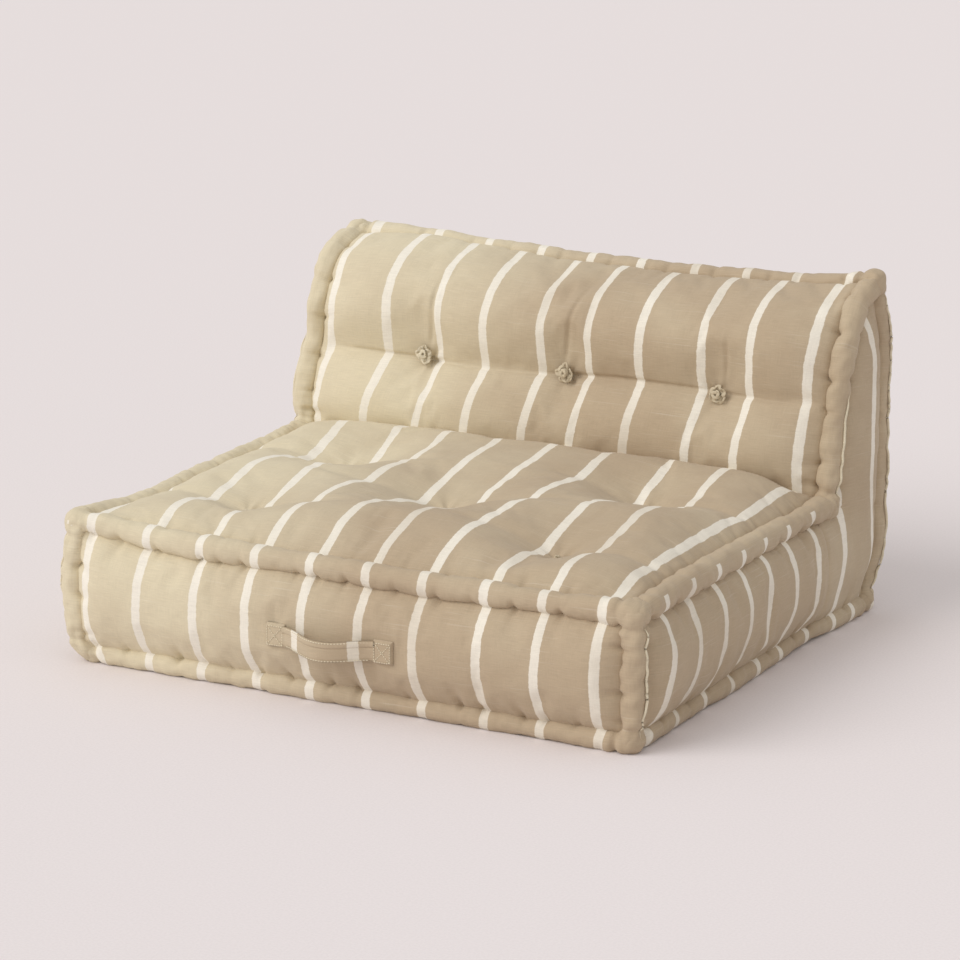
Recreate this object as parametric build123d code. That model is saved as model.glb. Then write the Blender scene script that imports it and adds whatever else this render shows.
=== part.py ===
# Floor sofa module: a low armless seat with a tufted back, stuffed and edged with rolled borders.
# Millimetres. +Z is up, the front faces -Y, and X runs across the width.
# The origin is on the floor, midway between the side rolls and between the front and rear rolls.
from build123d import *
from math import atan2, cos, hypot, pi, sin, sqrt, tan
import os

# Overall sizes
width = 1000.0  # over the side rolls
depth = 947.0  # over the front and rear rolls
seat_height = 236.0  # floor to the top of the rolls round the seat
back_height = 581.0  # floor to the top of the roll along the head
back_depth = 207.0  # over the rolls of the back, where it stands on the seat

# Cloth and fit
cloth = 2.5  # cover cloth with its lining
gap = 0.3  # between a soft piece and its neighbour
foot_flat = 0.5  # how deep the floor presses a base roll flat
overrun = 60.0  # how far a cutting body reaches past what it cuts

# Rolled borders
roll_diameter = 38.0
pucker_depth = 2.5  # how far each stitch draws the roll in
pucker_pitch = 58.0  # between stitches
bend_ease = 1.0  # extra room round a roll that bends

# Side edge of the back
back_lean = 35.0  # how far its straight part leans back
bend_height = 420.0  # where the straight part turns over towards the head
button_height = 380.0

# Stuffing
front_swell = 44.0
side_swell = 38.0
rear_swell = 40.0
back_swell = 60.0
least_swell = 6.0  # what is left of a swell at a border
back_core_clearance = 2.0  # from the back filling's straight core to the rolls beside it
back_pad_swell = 24.0  # how far the back filling swells behind its side panels
back_pad_margin = 24.0  # from the centre lines of the rolls to where that swell begins
back_pad_head_margin = 96.0  # from the centre line of the head's roll down to its upper end
upright_drop = 6.0  # how much lower the rear upright rolls end, under the slope of the back rolls
side_seam_gap = 1.6  # between the back's side panel and the seam where the seat begins
rosette_stand = 6.0  # from the floor of its groove to the foot of a rosette
seat_crown = 52.0
pillow_rise = 10.0  # how far the seat stands above its crown between the rows of tufts
border_bow = 2.0
tuft_depth = 38.0
button_pull = 16.0
rear_button_pull = 24.0
groove_width = 24.0  # flat floor of a tuft

# Tufts and what holds them
cord_diameter = 3.0
rosette_diameter = 36.0
rosette_height = 15.0
rosette_rim_height = 6.0
tuft_diameter = 18.0
tuft_height = 9.0
tuft_rim_height = 4.0
washer_diameter = 34.0
washer_thickness = 3.0

# Carrying strap
strap_span = 156.0  # between the sewn ends
strap_height = 37.0
strap_thickness = 4.0
strap_bow = 30.0  # how far the free span stands off the sewn ends
strap_centre_height = 108.0
patch_width = 34.0
patch_thickness = 3.0
thread = 1.0
stitch_margin = 5.0

roll_radius = roll_diameter / 2
cord_radius = cord_diameter / 2
side_x = width / 2 - roll_radius
back_core_reach = side_x - roll_radius - back_core_clearance
front_y = -depth / 2 + roll_radius
rear_y = depth / 2 - roll_radius
base_z = roll_radius - foot_flat
seat_z = seat_height - roll_radius
head_z = back_height - roll_radius
foot_y = rear_y - back_depth + roll_diameter
divider_y = foot_y - 1.5 * roll_diameter

# The side edge of the back is a straight lean, then one arc that meets it smoothly.
lean = atan2(back_lean, bend_height - seat_z)
bend_y = foot_y + back_lean
arc_chord = hypot(rear_y - bend_y, head_z - bend_height)
arc_half_turn = pi / 2 - lean - atan2(head_z - bend_height, rear_y - bend_y)
arc_radius = arc_chord / (2 * sin(arc_half_turn))
arc_y = bend_y + arc_radius * cos(lean)
arc_z = bend_height - arc_radius * sin(lean)

# Stations from the middle to a side roll, as shares of the half width, and how hard each row of
# tufts or buttons is drawn in at each of them.
station_shares = (0.0, 0.28, 0.57, 0.80, 0.94, 1.0)
outer_row_shares = (0.32, 0.32, 1.0, 0.25, 0.0, 0.0)
middle_row_shares = (1.0, 0.32, 0.25, 0.15, 0.0, 0.0)
button_row_shares = (1.0, 0.15, 1.0, 0.15, 0.0, 0.0)
column = 2  # the station of the outer tufts and buttons
seam_slant = (1, 2, 3)  # any direction that no edge of the body shares
groove_least_share = 0.2
fullness_power = 8

# Rows of seat tufts, as shares of the way from the front roll to the foot of the back.
seat_row_shares = (0.195, 0.47, 0.68)

# The front of the back: height share, then forward and upward shares of its swell.
junction_share = (0.0, -0.40, 0.50)
low_lobe_share = (0.27, -0.63, 0.0)
crease_share = -0.36
high_lobe_share = (0.62, -0.68, 0.0)
shoulder_share = (0.735, -1.05, 0.0)
crown_share = (0.91, -0.77, 0.38)

# Stations of the side panels: shares of the depth of the seat, and of the height of the back.
seat_side_shares = (0.0, 0.04, 0.12, 0.30, 0.55, 0.80, 1.0)
seat_side_full_shares = (0.0, 0.35, 0.80, 1.0, 1.0, 1.0, 1.0)
back_low_shares = (0.0, 0.15, 0.35, 0.60, 0.85, 1.0)
back_low_full_shares = (0.0, 0.55, 0.95, 1.0, 1.0, 1.0)
back_high_shares = (0.18, 0.38, 0.58, 0.76, 0.88, 0.955)
back_high_full_shares = (1.0, 0.95, 0.80, 0.55, 0.30, 0.08)
back_pad_shares = (0.0, 0.08, 0.20, 0.36, 0.54, 0.70, 0.82, 0.92, 1.0)
back_pad_full_shares = (0.0, 0.30, 0.75, 1.0, 1.0, 0.80, 0.50, 0.20, 0.0)


def edge_y(z):
    """Where the side edge of the back is at a height."""
    if z <= bend_height:
        return foot_y + (z - seat_z) * tan(lean)
    return arc_y - sqrt(arc_radius**2 - (z - arc_z) ** 2)


def fullness(share):
    """How far the stuffing swells at a share of the way from the middle to a border."""
    return 1 - abs(share) ** fullness_power


def swell_at(swell, full):
    """A swell between its full size and what is left of it at a border."""
    return least_swell + (swell - least_swell) * full


def on_back(share, full):
    """A point on the front of the back, from its height, forward and upward shares."""
    height_share, forward_share, up_share = share
    z = seat_z + (head_z - seat_z) * height_share
    return edge_y(z) + back_swell * forward_share * full, z + back_swell * up_share * full


def seat_line(index, inset):
    """The seat's outline at a station: its steps are an arc's middle, or None, and an end."""
    full = fullness(station_shares[index])
    top = seat_z + swell_at(seat_crown, full)
    middle_z = seat_z + border_bow + swell_at(seat_crown + pillow_rise, full) - inset
    steps = []
    last_y = front_y
    pulls = (outer_row_shares[index], middle_row_shares[index], outer_row_shares[index])
    for row_share, pull in zip(seat_row_shares, pulls):
        half_groove = groove_width / 2 * max(pull, groove_least_share)
        y = front_y + (foot_y - front_y) * row_share
        z = top - tuft_depth * pull - inset
        steps.append((((last_y + y - half_groove) / 2, middle_z), (y - half_groove, z)))
        steps.append((None, (y + half_groove, z)))
        last_y = y + half_groove
    junction_y, junction_z = on_back(junction_share, full)
    end = (junction_y + inset, junction_z + least_swell - inset)
    steps.append((((last_y + junction_y) / 2, middle_z), end))
    return steps


def back_line(index, inset):
    """The outline of the front of the back at a station, from the seat up to the head roll."""
    full = fullness(station_shares[index])
    pull = button_row_shares[index]
    half_groove = groove_width / 2 * max(pull, groove_least_share)
    crease_y = edge_y(button_height) + back_swell * crease_share * full
    crease_y += button_pull * pull - least_swell + inset
    low_y, low_z = on_back(low_lobe_share, full)
    high_y, high_z = on_back(high_lobe_share, full)
    shoulder_y, shoulder_z = on_back(shoulder_share, full)
    crown_y, crown_z = on_back(crown_share, full)
    return [
        ((low_y - 2 * least_swell + inset, low_z), (crease_y, button_height - half_groove)),
        (None, (crease_y, button_height + half_groove)),
        ((high_y - 1.5 * least_swell + inset, high_z), (shoulder_y - least_swell + inset, shoulder_z)),
        ((crown_y + (inset - least_swell) / 2, crown_z + least_swell - inset), (rear_y, head_z)),
    ]


def rear_line(index, inset):
    """The rear outline at a station, from the head roll down to the base roll."""
    full = fullness(station_shares[index])
    pull = button_row_shares[index]
    half_groove = groove_width / 2 * max(pull, groove_least_share)
    swell_y = rear_y + swell_at(rear_swell, full) - inset
    crease_y = swell_y - border_bow - rear_button_pull * pull
    return [
        ((swell_y, (head_z + button_height) / 2), (crease_y, button_height + half_groove)),
        (None, (crease_y, button_height - half_groove)),
        ((swell_y, (base_z + button_height) / 2), (rear_y, base_z)),
    ]


def front_line(index, inset):
    """The front outline at a station, from the base roll up to the seat roll."""
    swell = swell_at(front_swell, fullness(station_shares[index])) - inset
    return [((front_y - swell, (base_z + seat_z) / 2), (front_y, seat_z))]


def edges_along(place, start, steps):
    """Edges through the steps of an outline, each an arc or, with no middle, a line."""
    edges = []
    for middle, end in steps:
        if middle is None:
            edges.append(Edge.make_line(place(start), place(end)))
        else:
            edges.append(Edge.make_three_point_arc(place(start), place(middle), place(end)))
        start = end
    return edges


def face_between(place, start, outer, inner):
    """The thin section between two outlines that share both their ends."""
    return Face(Wire(edges_along(place, start, outer) + edges_along(place, start, inner)))


def across():
    """Each cross station from left to right, as its index and its place in X."""
    order = [(i, -1) for i in range(len(station_shares) - 1, 0, -1)]
    order += [(i, 1) for i in range(len(station_shares))]
    return [(index, sign * side_x * station_shares[index]) for index, sign in order]


def at_x(x):
    """A map from an outline's Y and Z to a point at this X."""
    return lambda point: Vector(x, point[0], point[1])


def skin_across(start, line):
    """A cover panel that is lofted from side to side."""
    faces = []
    for index, x in across():
        faces.append(face_between(at_x(x), start, line(index, 0), line(index, cloth)))
    return loft(faces)


def stuffing_core():
    """The whole L-shaped filling inside the cover, without the swell of its sides."""
    inset = cloth + gap
    floor_z = inset
    faces = []
    for index, x in across():
        steps = front_line(index, inset) + seat_line(index, inset) + back_line(index, inset)
        steps += rear_line(index, inset)
        steps += [(None, (rear_y, floor_z)), (None, (front_y, floor_z)), (None, (front_y, base_z))]
        faces.append(Face(Wire(edges_along(at_x(x), (front_y, base_z), steps))))
    return loft(faces)


def cylinder_between(start, end, radius):
    """A round bar from point to point, whose seam line faces no flat side of the body."""
    axis = end - start
    slant = axis.cross(Vector(*seam_slant)).normalized()
    return Plane(start, x_dir=slant, z_dir=axis) * Cylinder(
        radius, axis.length, align=(Align.CENTER, Align.CENTER, Align.MIN)
    )


def puckered_bar(start, end):
    """A straight roll, drawn in at each stitch: arcs turned round its axis."""
    axis = end - start
    bays = max(round(axis.length / pucker_pitch), 1)
    bay = axis.length / bays
    low = roll_radius - pucker_depth
    edges = [Edge.make_line((0, 0), (low, 0))]
    for i in range(bays):
        ends = (low, bay * i), (low, bay * (i + 1))
        edges.append(Edge.make_three_point_arc(ends[0], (roll_radius, bay * (i + 1 / 2)), ends[1]))
    edges.append(Edge.make_line((low, bay * bays), (0, bay * bays)))
    edges.append(Edge.make_line((0, bay * bays), (0, 0)))
    turned = revolve(Face(Wire(edges)), Axis.Y)
    return Plane(start, z_dir=axis) * (Rot(X=90) * turned)


def ring(place, radius):
    """A round section made of four arcs."""
    points = [(cos(i * pi / 4) * radius, sin(i * pi / 4) * radius) for i in range(9)]
    world = [place.from_local_coords(Vector(x, y, 0)) for x, y in points[:-1]]
    world.append(world[0])
    arcs = [Edge.make_three_point_arc(*world[i : i + 3]) for i in range(0, 8, 2)]
    return Face(Wire(arcs))


def back_edge_path(x):
    """The centre line of a back roll, from its foot on the seat roll up to the head."""
    foot = Vector(x, foot_y, seat_z)
    bend = Vector(x, bend_y, bend_height)
    direction = (bend - foot).normalized()
    straight = Edge.make_line(foot, bend)
    arc = Edge.make_tangent_arc(bend, direction, Vector(x, rear_y, head_z))
    return straight, arc


def puckered_back_roll(x):
    """A back roll: round sections along its lean and its bend, smaller at every stitch."""
    stations = []
    for edge in back_edge_path(x):
        bays = max(round(edge.length / pucker_pitch), 1)
        stations += [(edge, i / (2 * bays), i) for i in range(2 * bays)]
    straight, arc = back_edge_path(x)
    stations.append((arc, 1.0, 0))
    first = straight @ 0 - (straight % 0) * roll_diameter
    last = arc @ 1 + (arc % 1) * roll_diameter
    faces = [ring(Plane(first, z_dir=straight % 0, x_dir=(1, 0, 0)), roll_radius - pucker_depth)]
    for edge, share, i in stations:
        radius = roll_radius - (pucker_depth if i % 2 == 0 else 0)
        faces.append(ring(Plane(edge @ share, z_dir=edge % share, x_dir=(1, 0, 0)), radius))
    faces.append(ring(Plane(last, z_dir=arc % 1, x_dir=(1, 0, 0)), roll_radius - pucker_depth))
    return loft(faces, ruled=True)


def back_roll_space(x):
    """The space that a back roll fills, with its clearance, from a little below its foot."""
    straight, arc = back_edge_path(x)
    below = straight @ 0 - (straight % 0) * roll_radius
    path = Wire([Edge.make_line(below, straight @ 1), arc])
    place = Plane(below, z_dir=straight % 0, x_dir=(1, 0, 0))
    section = place * Circle(roll_radius + gap + bend_ease)
    return sweep(section, path)


def corner(sx, y, z):
    """A corner of the body of rolls, on the left or right by sign."""
    return Vector(sx * side_x, y, z)


def mitred(bar, point, outward, across_way):
    """A roll cut where it meets the next: outward leaves it, and across_way enters the next."""
    normal = (Vector(*outward) + Vector(*across_way)).normalized()
    return split(bar, bisect_by=Plane(point, z_dir=normal), keep=Keep.BOTTOM)


def stretched(start, end, by_start, by_end):
    """The two ends moved outward along their line."""
    way = (end - start).normalized()
    return start - way * by_start, end + way * by_end


bar_ends = {}
left, right = -1, 1
front, rear = front_y, rear_y
bar_ends["front_base_roll"] = (corner(left, front, base_z), corner(right, front, base_z))
bar_ends["rear_base_roll"] = (corner(left, rear, base_z), corner(right, rear, base_z))
bar_ends["front_top_roll"] = (corner(left, front, seat_z), corner(right, front, seat_z))
bar_ends["rear_top_roll"] = (corner(left, rear, head_z), corner(right, rear, head_z))
for side, sx in (("left", left), ("right", right)):
    bar_ends[side + "_base_roll"] = (corner(sx, front, base_z), corner(sx, rear, base_z))
    bar_ends[side + "_seat_roll"] = (corner(sx, front, seat_z), corner(sx, foot_y, seat_z))
    bar_ends["front_" + side + "_roll"] = (corner(sx, front, base_z), corner(sx, front, seat_z))
    bar_ends["rear_" + side + "_roll"] = (corner(sx, rear, base_z), corner(sx, rear, head_z))



def roll_space(name):
    """The space of a straight roll: an upright one stays within the corners of the others."""
    a, b = bar_ends[name]
    upright = abs((b - a).Z) > gap
    reach = -roll_radius / 2 if upright else roll_radius
    return cylinder_between(*stretched(a, b, reach, reach), roll_radius + gap)


roll_spaces = {name: roll_space(name) for name in bar_ends}
for side, sx in (("left", left), ("right", right)):
    roll_spaces[side + "_back_roll"] = back_roll_space(sx * side_x)


def horizontal_roll(name, across_way):
    """A roll between two mitred corners, where the next rolls run along across_way."""
    a, b = bar_ends[name]
    bar = puckered_bar(*stretched(a, b, roll_radius, roll_radius))
    way = (b - a).normalized()
    bar = mitred(bar, a, -way, across_way)
    return mitred(bar, b, way, across_way)


def upright_roll(name, drop):
    """A roll that stands between the mitred corners of two others, its upper end lower by drop."""
    a, b = bar_ends[name]
    clear = roll_radius + gap
    return puckered_bar(*stretched(a, b, -clear, -clear - drop))


def make_rolls():
    """Every rolled border by name."""
    rolls = {}
    back_way, front_way = (0, 1, 0), (0, -1, 0)
    rolls["front_base_roll"] = horizontal_roll("front_base_roll", back_way)
    rolls["front_top_roll"] = horizontal_roll("front_top_roll", back_way)
    rolls["rear_base_roll"] = horizontal_roll("rear_base_roll", front_way)
    rolls["rear_top_roll"] = horizontal_roll("rear_top_roll", front_way)
    for side, sx in (("left", left), ("right", right)):
        inward = (-sx, 0, 0)
        rolls[side + "_base_roll"] = horizontal_roll(side + "_base_roll", inward)
        for end, drop in (("front_", 0), ("rear_", upright_drop)):
            rolls[end + side + "_roll"] = upright_roll(end + side + "_roll", drop)
        straight, arc = back_edge_path(sx * side_x)
        a, b = bar_ends[side + "_seat_roll"]
        seat_roll = puckered_bar(*stretched(a, b, roll_radius, roll_radius))
        seat_roll = mitred(seat_roll, a, front_way, inward)
        up_way = tuple(straight % 0)
        rolls[side + "_seat_roll"] = mitred(seat_roll, b, back_way, up_way)
        back_roll = puckered_back_roll(sx * side_x)
        down_way = tuple(-(straight % 0))
        back_roll = mitred(back_roll, straight @ 0, down_way, front_way)
        rolls[side + "_back_roll"] = mitred(back_roll, arc @ 1, back_way, inward)
    floor = Pos(0, 0, -overrun / 2) * Box(width + overrun, depth + overrun, overrun)
    for name in list(rolls):
        if "base" in name:
            rolls[name] = rolls[name] - floor
    return rolls


def side_station(full, inset):
    """The steps of the seat's side outline at a place along the depth, from base to seat."""
    swell = swell_at(side_swell, full) - inset
    return [((side_x + swell, (base_z + seat_z) / 2), (side_x, seat_z))]


def at_y(sx, y):
    """A map from an outline's X and Z to a point at this Y, on the left or right by sign."""
    return lambda point: Vector(sx * point[0], y, point[1])


def seat_side_skin(sx):
    """A side panel of the seat, from the front corner to the seam with the back's side panel."""
    end_y = divider_y - gap / 2
    faces = []
    for share, full in zip(seat_side_shares, seat_side_full_shares):
        y = front_y + (end_y - front_y) * share
        outer, inner = side_station(full, 0), side_station(full, cloth)
        faces.append(face_between(at_y(sx, y), (side_x, base_z), outer, inner))
    return loft(faces)


def seat_side_stuffing(sx):
    """The swell of the seat filling behind a side panel."""
    faces = []
    for share, full in zip(seat_side_shares, seat_side_full_shares):
        y = front_y + (divider_y - front_y) * share
        steps = side_station(full, cloth + gap) + [(None, (side_x, base_z))]
        faces.append(Face(Wire(edges_along(at_y(sx, y), (side_x, base_z), steps))))
    return loft(faces)


def side_arc_swell(z):
    """How far the seat's side panel stands out at a height, along its arc."""
    half = (seat_z - base_z) / 2
    radius = (half**2 + side_swell**2) / (2 * side_swell)
    offset = z - (base_z + seat_z) / 2
    return max(sqrt(max(radius**2 - offset**2, 0)) - (radius - side_swell), least_swell)


def back_side_stations():
    """Height, front end in Y, its swell and the middle's fullness, up the back's side panel."""
    stations = []
    for share, full in zip(back_low_shares, back_low_full_shares):
        z = base_z + (seat_z - base_z) * share
        stations.append((z, divider_y, side_arc_swell(z), full))
    for share, full in zip(back_high_shares, back_high_full_shares):
        z = seat_z + (head_z - seat_z) * share
        stations.append((z, edge_y(z), least_swell, full))
    return stations


def at_z(sx, z):
    """A map from an outline's X and Y to a point at this Z, on the left or right by sign."""
    return lambda point: Vector(sx * point[0], point[1], z)


def back_side_skin(sx):
    """A side panel of the back, from the seam with the seat's side panel to the rear."""
    faces = []
    for z, start_y, start_swell, full in back_side_stations():
        start_y += side_seam_gap
        middle = (start_y + rear_y) / 2
        swell = swell_at(side_swell, full)
        outer = (side_x + start_swell, start_y)
        inner = (side_x + start_swell - cloth, start_y)
        place = at_z(sx, z)
        out_arc = [((side_x + swell, middle), (side_x, rear_y))]
        in_arc = [((side_x + swell - cloth, middle), (side_x, rear_y))]
        edges = edges_along(place, outer, out_arc) + edges_along(place, inner, in_arc)
        edges.append(Edge.make_line(place(outer), place(inner)))
        faces.append(Face(Wire(edges)))
    return loft(faces)


def back_side_stuffing(sx):
    """The back filling beside its core, behind a side panel and clear of the rolls."""
    low_z, high_z = base_z + back_pad_margin, head_z - back_pad_head_margin
    faces = []
    for share, full in zip(back_pad_shares, back_pad_full_shares):
        z = low_z + (high_z - low_z) * share
        start_y = edge_y(max(z, seat_z)) + back_pad_margin
        end_y = rear_y - back_pad_margin
        swell = border_bow + (back_pad_swell - border_bow) * full
        steps = [((side_x + swell, (start_y + end_y) / 2), (back_core_reach, end_y))]
        steps.append((None, (back_core_reach, start_y)))
        faces.append(Face(Wire(edges_along(at_z(sx, z), (back_core_reach, start_y), steps))))
    return loft(faces)


def button(diameter, height, rim_height, foot_diameter):
    """A round button: a cone on a small flat foot, under a domed cap, its axis along +Z."""
    radius = diameter / 2
    foot = foot_diameter / 2
    centre = (radius**2 + rim_height**2 - height**2) / (2 * (rim_height - height))
    cap_radius = height - centre
    half_angle = atan2(radius, rim_height - centre) / 2
    middle = (cap_radius * sin(half_angle), centre + cap_radius * cos(half_angle))
    edges = [
        Edge.make_line((0, 0), (foot, 0)),
        Edge.make_line((foot, 0), (radius, rim_height)),
        Edge.make_three_point_arc((radius, rim_height), middle, (0, height)),
        Edge.make_line((0, height), (0, 0)),
    ]
    return Rot(X=90) * revolve(Face(Wire(edges)), Axis.Y)


def tuft_places():
    """X, Y and station of each seat tuft: four outer ones and one in the middle."""
    column_x = side_x * station_shares[column]
    ys = [front_y + (foot_y - front_y) * share for share in seat_row_shares]
    places = {"middle": (0, ys[1], 0, 1)}
    for row, y, i in (("front", ys[0], 0), ("rear", ys[2], 2)):
        places[row + "_left"] = (-column_x, y, column, i)
        places[row + "_right"] = (column_x, y, column, i)
    return places


def groove_floor(steps, number):
    """The place of the flat floor of a groove among an outline's steps."""
    floors = [end for middle, end in steps if middle is None]
    return floors[number]


def bar_along(point, axis, length, radius):
    """A round bar of a length from a point along an axis."""
    return cylinder_between(point, point + Vector(*axis) * length, radius)


def make_tufts():
    """Seat tufts, their cords and felt washers, and the spaces that they need."""
    pieces, holes = {}, []
    for name, (x, y, station, number) in tuft_places().items():
        floor_z = groove_floor(seat_line(station, 0), number)[1] + gap
        knot = Pos(x, y, floor_z) * button(tuft_diameter, tuft_height, tuft_rim_height, cord_diameter)
        washer_z = cloth
        pieces["seat_tuft_" + name] = knot
        pieces["seat_washer_" + name] = Pos(x, y, washer_z + washer_thickness / 2) * Cylinder(
            washer_diameter / 2, washer_thickness
        )
        cord_start = Vector(x, y, washer_z + washer_thickness)
        cord_length = floor_z - cord_start.Z
        pieces["seat_cord_" + name] = bar_along(cord_start, (0, 0, 1), cord_length, cord_radius)
        holes.append(bar_along(Vector(x, y, cloth), (0, 0, 1), back_height, cord_radius + gap))
        space_height = washer_thickness + 2 * gap
        washer_space = Cylinder(washer_diameter / 2 + gap, space_height)
        holes.append(Pos(x, y, washer_z + space_height / 2) * washer_space)
    return pieces, holes


def make_buttons():
    """Rosettes in the front and the rear of the back with their cords, and the holes for these."""
    pieces, holes = {}, []
    column_x = side_x * station_shares[column]
    size = (rosette_diameter, rosette_height, rosette_rim_height, cord_diameter)
    for name, x, station in (("left", -column_x, column), ("middle", 0, 0), ("right", column_x, column)):
        y_front = groove_floor(back_line(station, 0), 0)[0] - rosette_stand
        y_rear = groove_floor(rear_line(station, 0), 0)[0] + rosette_stand
        pieces["back_rosette_" + name] = Pos(x, y_front, button_height) * (Rot(X=90) * button(*size))
        pieces["rear_rosette_" + name] = Pos(x, y_rear, button_height) * (Rot(X=-90) * button(*size))
        start = Vector(x, y_front, button_height)
        pieces["back_cord_" + name] = bar_along(start, (0, 1, 0), y_rear - y_front, cord_radius)
        hole_start = Vector(x, y_front - overrun, button_height)
        hole_length = y_rear - y_front + 2 * overrun
        holes.append(bar_along(hole_start, (0, 1, 0), hole_length, cord_radius + gap))
    return pieces, holes


def front_shell(outer, inner):
    """The shell between two offsets of the front panel, inside its middle stations."""
    faces = []
    for index, x in across():
        place = at_x(x)
        middle_z = (base_z + seat_z) / 2
        swell = swell_at(front_swell, fullness(station_shares[index]))
        start, end = (front_y, base_z), (front_y, seat_z)
        steps = [((front_y - swell - outer, middle_z), end)]
        back_steps = [((front_y - swell - inner, middle_z), end)]
        faces.append(face_between(place, start, steps, back_steps))
    return loft(faces)


def make_handle():
    """The strap's free span, its two sewn ends, and the stitching of each end."""
    pieces = {}
    patch_shell = front_shell(gap + patch_thickness, gap)
    thread_shell = front_shell(gap + patch_thickness + thread, gap + patch_thickness)
    face_y = front_y - front_swell
    block_depth = front_swell
    for side, sx in (("left", left), ("right", right)):
        x = sx * (strap_span / 2 + gap + patch_width / 2)
        place = Pos(x, face_y, strap_centre_height)
        pieces["handle_end_" + side] = patch_shell & (place * Box(patch_width, block_depth, strap_height))
        wide, tall = patch_width - 2 * stitch_margin, strap_height - 2 * stitch_margin
        frame = Box(wide, block_depth, tall) - Box(wide - 2 * thread, block_depth, tall - 2 * thread)
        slope = atan2(tall, wide) * 180 / pi
        cross = Rot(Y=slope) * Box(hypot(wide, tall), block_depth, thread)
        cross += Rot(Y=-slope) * Box(hypot(wide, tall), block_depth, thread)
        cross = cross & Box(wide, block_depth, tall)
        pieces["handle_stitching_" + side] = thread_shell & (place * (frame + cross))
    start_y = face_y - gap - strap_thickness / 2
    half = strap_span / 2
    bow = strap_bow - strap_thickness / 2
    outer = Edge.make_three_point_arc(
        (-half, start_y - strap_thickness / 2), (0, start_y - bow - strap_thickness),
        (half, start_y - strap_thickness / 2),
    )
    inner = Edge.make_three_point_arc(
        (half, start_y + strap_thickness / 2), (0, start_y - bow), (-half, start_y + strap_thickness / 2)
    )
    ends = [
        Edge.make_line(outer @ 1, inner @ 0),
        Edge.make_line(inner @ 1, outer @ 0),
    ]
    strip = extrude(Face(Wire([outer, ends[0], inner, ends[1]])), strap_height)
    pieces["handle_strap"] = Pos(0, 0, strap_centre_height - strap_height / 2) * strip
    return pieces


def block_between(y_low, y_high):
    """A block over the whole width and height between two places along the depth."""
    tall = back_height + 2 * overrun
    place = Pos(0, (y_low + y_high) / 2, back_height / 2)
    return place * Box(width + 2 * overrun, y_high - y_low, tall)


def without(piece, spaces):
    """A piece with each space cut away in turn."""
    for space in spaces:
        piece = piece - space
    return piece


def spaces_of(*names):
    """The spaces of some rolls; a name with SIDE stands for the left one and the right one."""
    found = []
    for name in names:
        for side in ("left", "right") if "SIDE" in name else ("",):
            found.append(roll_spaces[name.replace("SIDE", side) + "_roll"])
    return found


def make_fillings(tuft_holes, button_holes):
    """The seat filling and the back filling, which meet at a flat divider."""
    core = stuffing_core()
    far = depth / 2 + overrun
    seat = core & block_between(-far, divider_y)
    for sx in (left, right):
        seat = seat + seat_side_stuffing(sx)
    seat_rolls = ("SIDE_base", "SIDE_seat", "front_top", "front_base", "front_SIDE")
    back = core & block_between(divider_y, far)
    back = back & Box(2 * back_core_reach, 2 * depth, 2 * width)
    back = without(back, spaces_of("rear_top", "rear_base") + button_holes)
    for sx in (left, right):
        back = back + back_side_stuffing(sx)
    return {
        "seat_filling": without(seat, spaces_of(*seat_rolls) + tuft_holes),
        "back_filling": back,
    }


def top_line(index, inset):
    """The outline of the seat and of the front of the back, which are one cloth."""
    return seat_line(index, inset) + back_line(index, inset)


def make_panels(tuft_holes, button_holes):
    """The cover: each panel of cloth, trimmed by the rolls round it and by what passes through."""
    front = skin_across((front_y, base_z), front_line)
    top = skin_across((front_y, seat_z), top_line)
    back = skin_across((rear_y, head_z), rear_line)
    sheet = Box(2 * side_x, rear_y - front_y, cloth)
    base = Pos(0, (front_y + rear_y) / 2, cloth / 2) * sheet
    top_spaces = spaces_of("front_top", "SIDE_seat", "SIDE_back", "rear_top")
    panels = {
        "front_panel": without(front, spaces_of("front_top", "front_base", "front_SIDE")),
        "top_panel": without(top, top_spaces + tuft_holes + button_holes),
        "rear_panel": without(back, spaces_of("rear_top", "rear_base", "rear_SIDE") + button_holes),
        "base_panel": without(base, spaces_of("front_base", "rear_base", "SIDE_base")),
    }
    for side, sx in (("left", left), ("right", right)):
        seat_names = (side + "_seat", side + "_base", "front_" + side)
        back_names = (side + "_seat", side + "_base", "rear_" + side, side + "_back")
        panels[side + "_seat_side_panel"] = without(seat_side_skin(sx), spaces_of(*seat_names))
        panels[side + "_back_side_panel"] = without(back_side_skin(sx), spaces_of(*back_names))
    return panels


def build():
    """Every piece of the module by name."""
    tufts, tuft_holes = make_tufts()
    buttons, button_holes = make_buttons()
    pieces = make_rolls()
    pieces.update(make_panels(tuft_holes, button_holes))
    pieces.update(make_fillings(tuft_holes, button_holes))
    pieces.update(tufts)
    pieces.update(buttons)
    pieces.update(make_handle())
    return pieces


def main():
    os.makedirs("parts", exist_ok=True)
    for name, piece in build().items():
        solids = piece.solids()
        export_step(Compound(solids) if len(solids) > 1 else solids[0], f"parts/{name}.step")


main()
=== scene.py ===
"""Looks of the modular floor sofa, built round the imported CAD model. Sizes are in metres."""

import math

import bpy
import numpy as np
from mathutils import Matrix, Vector


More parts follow.
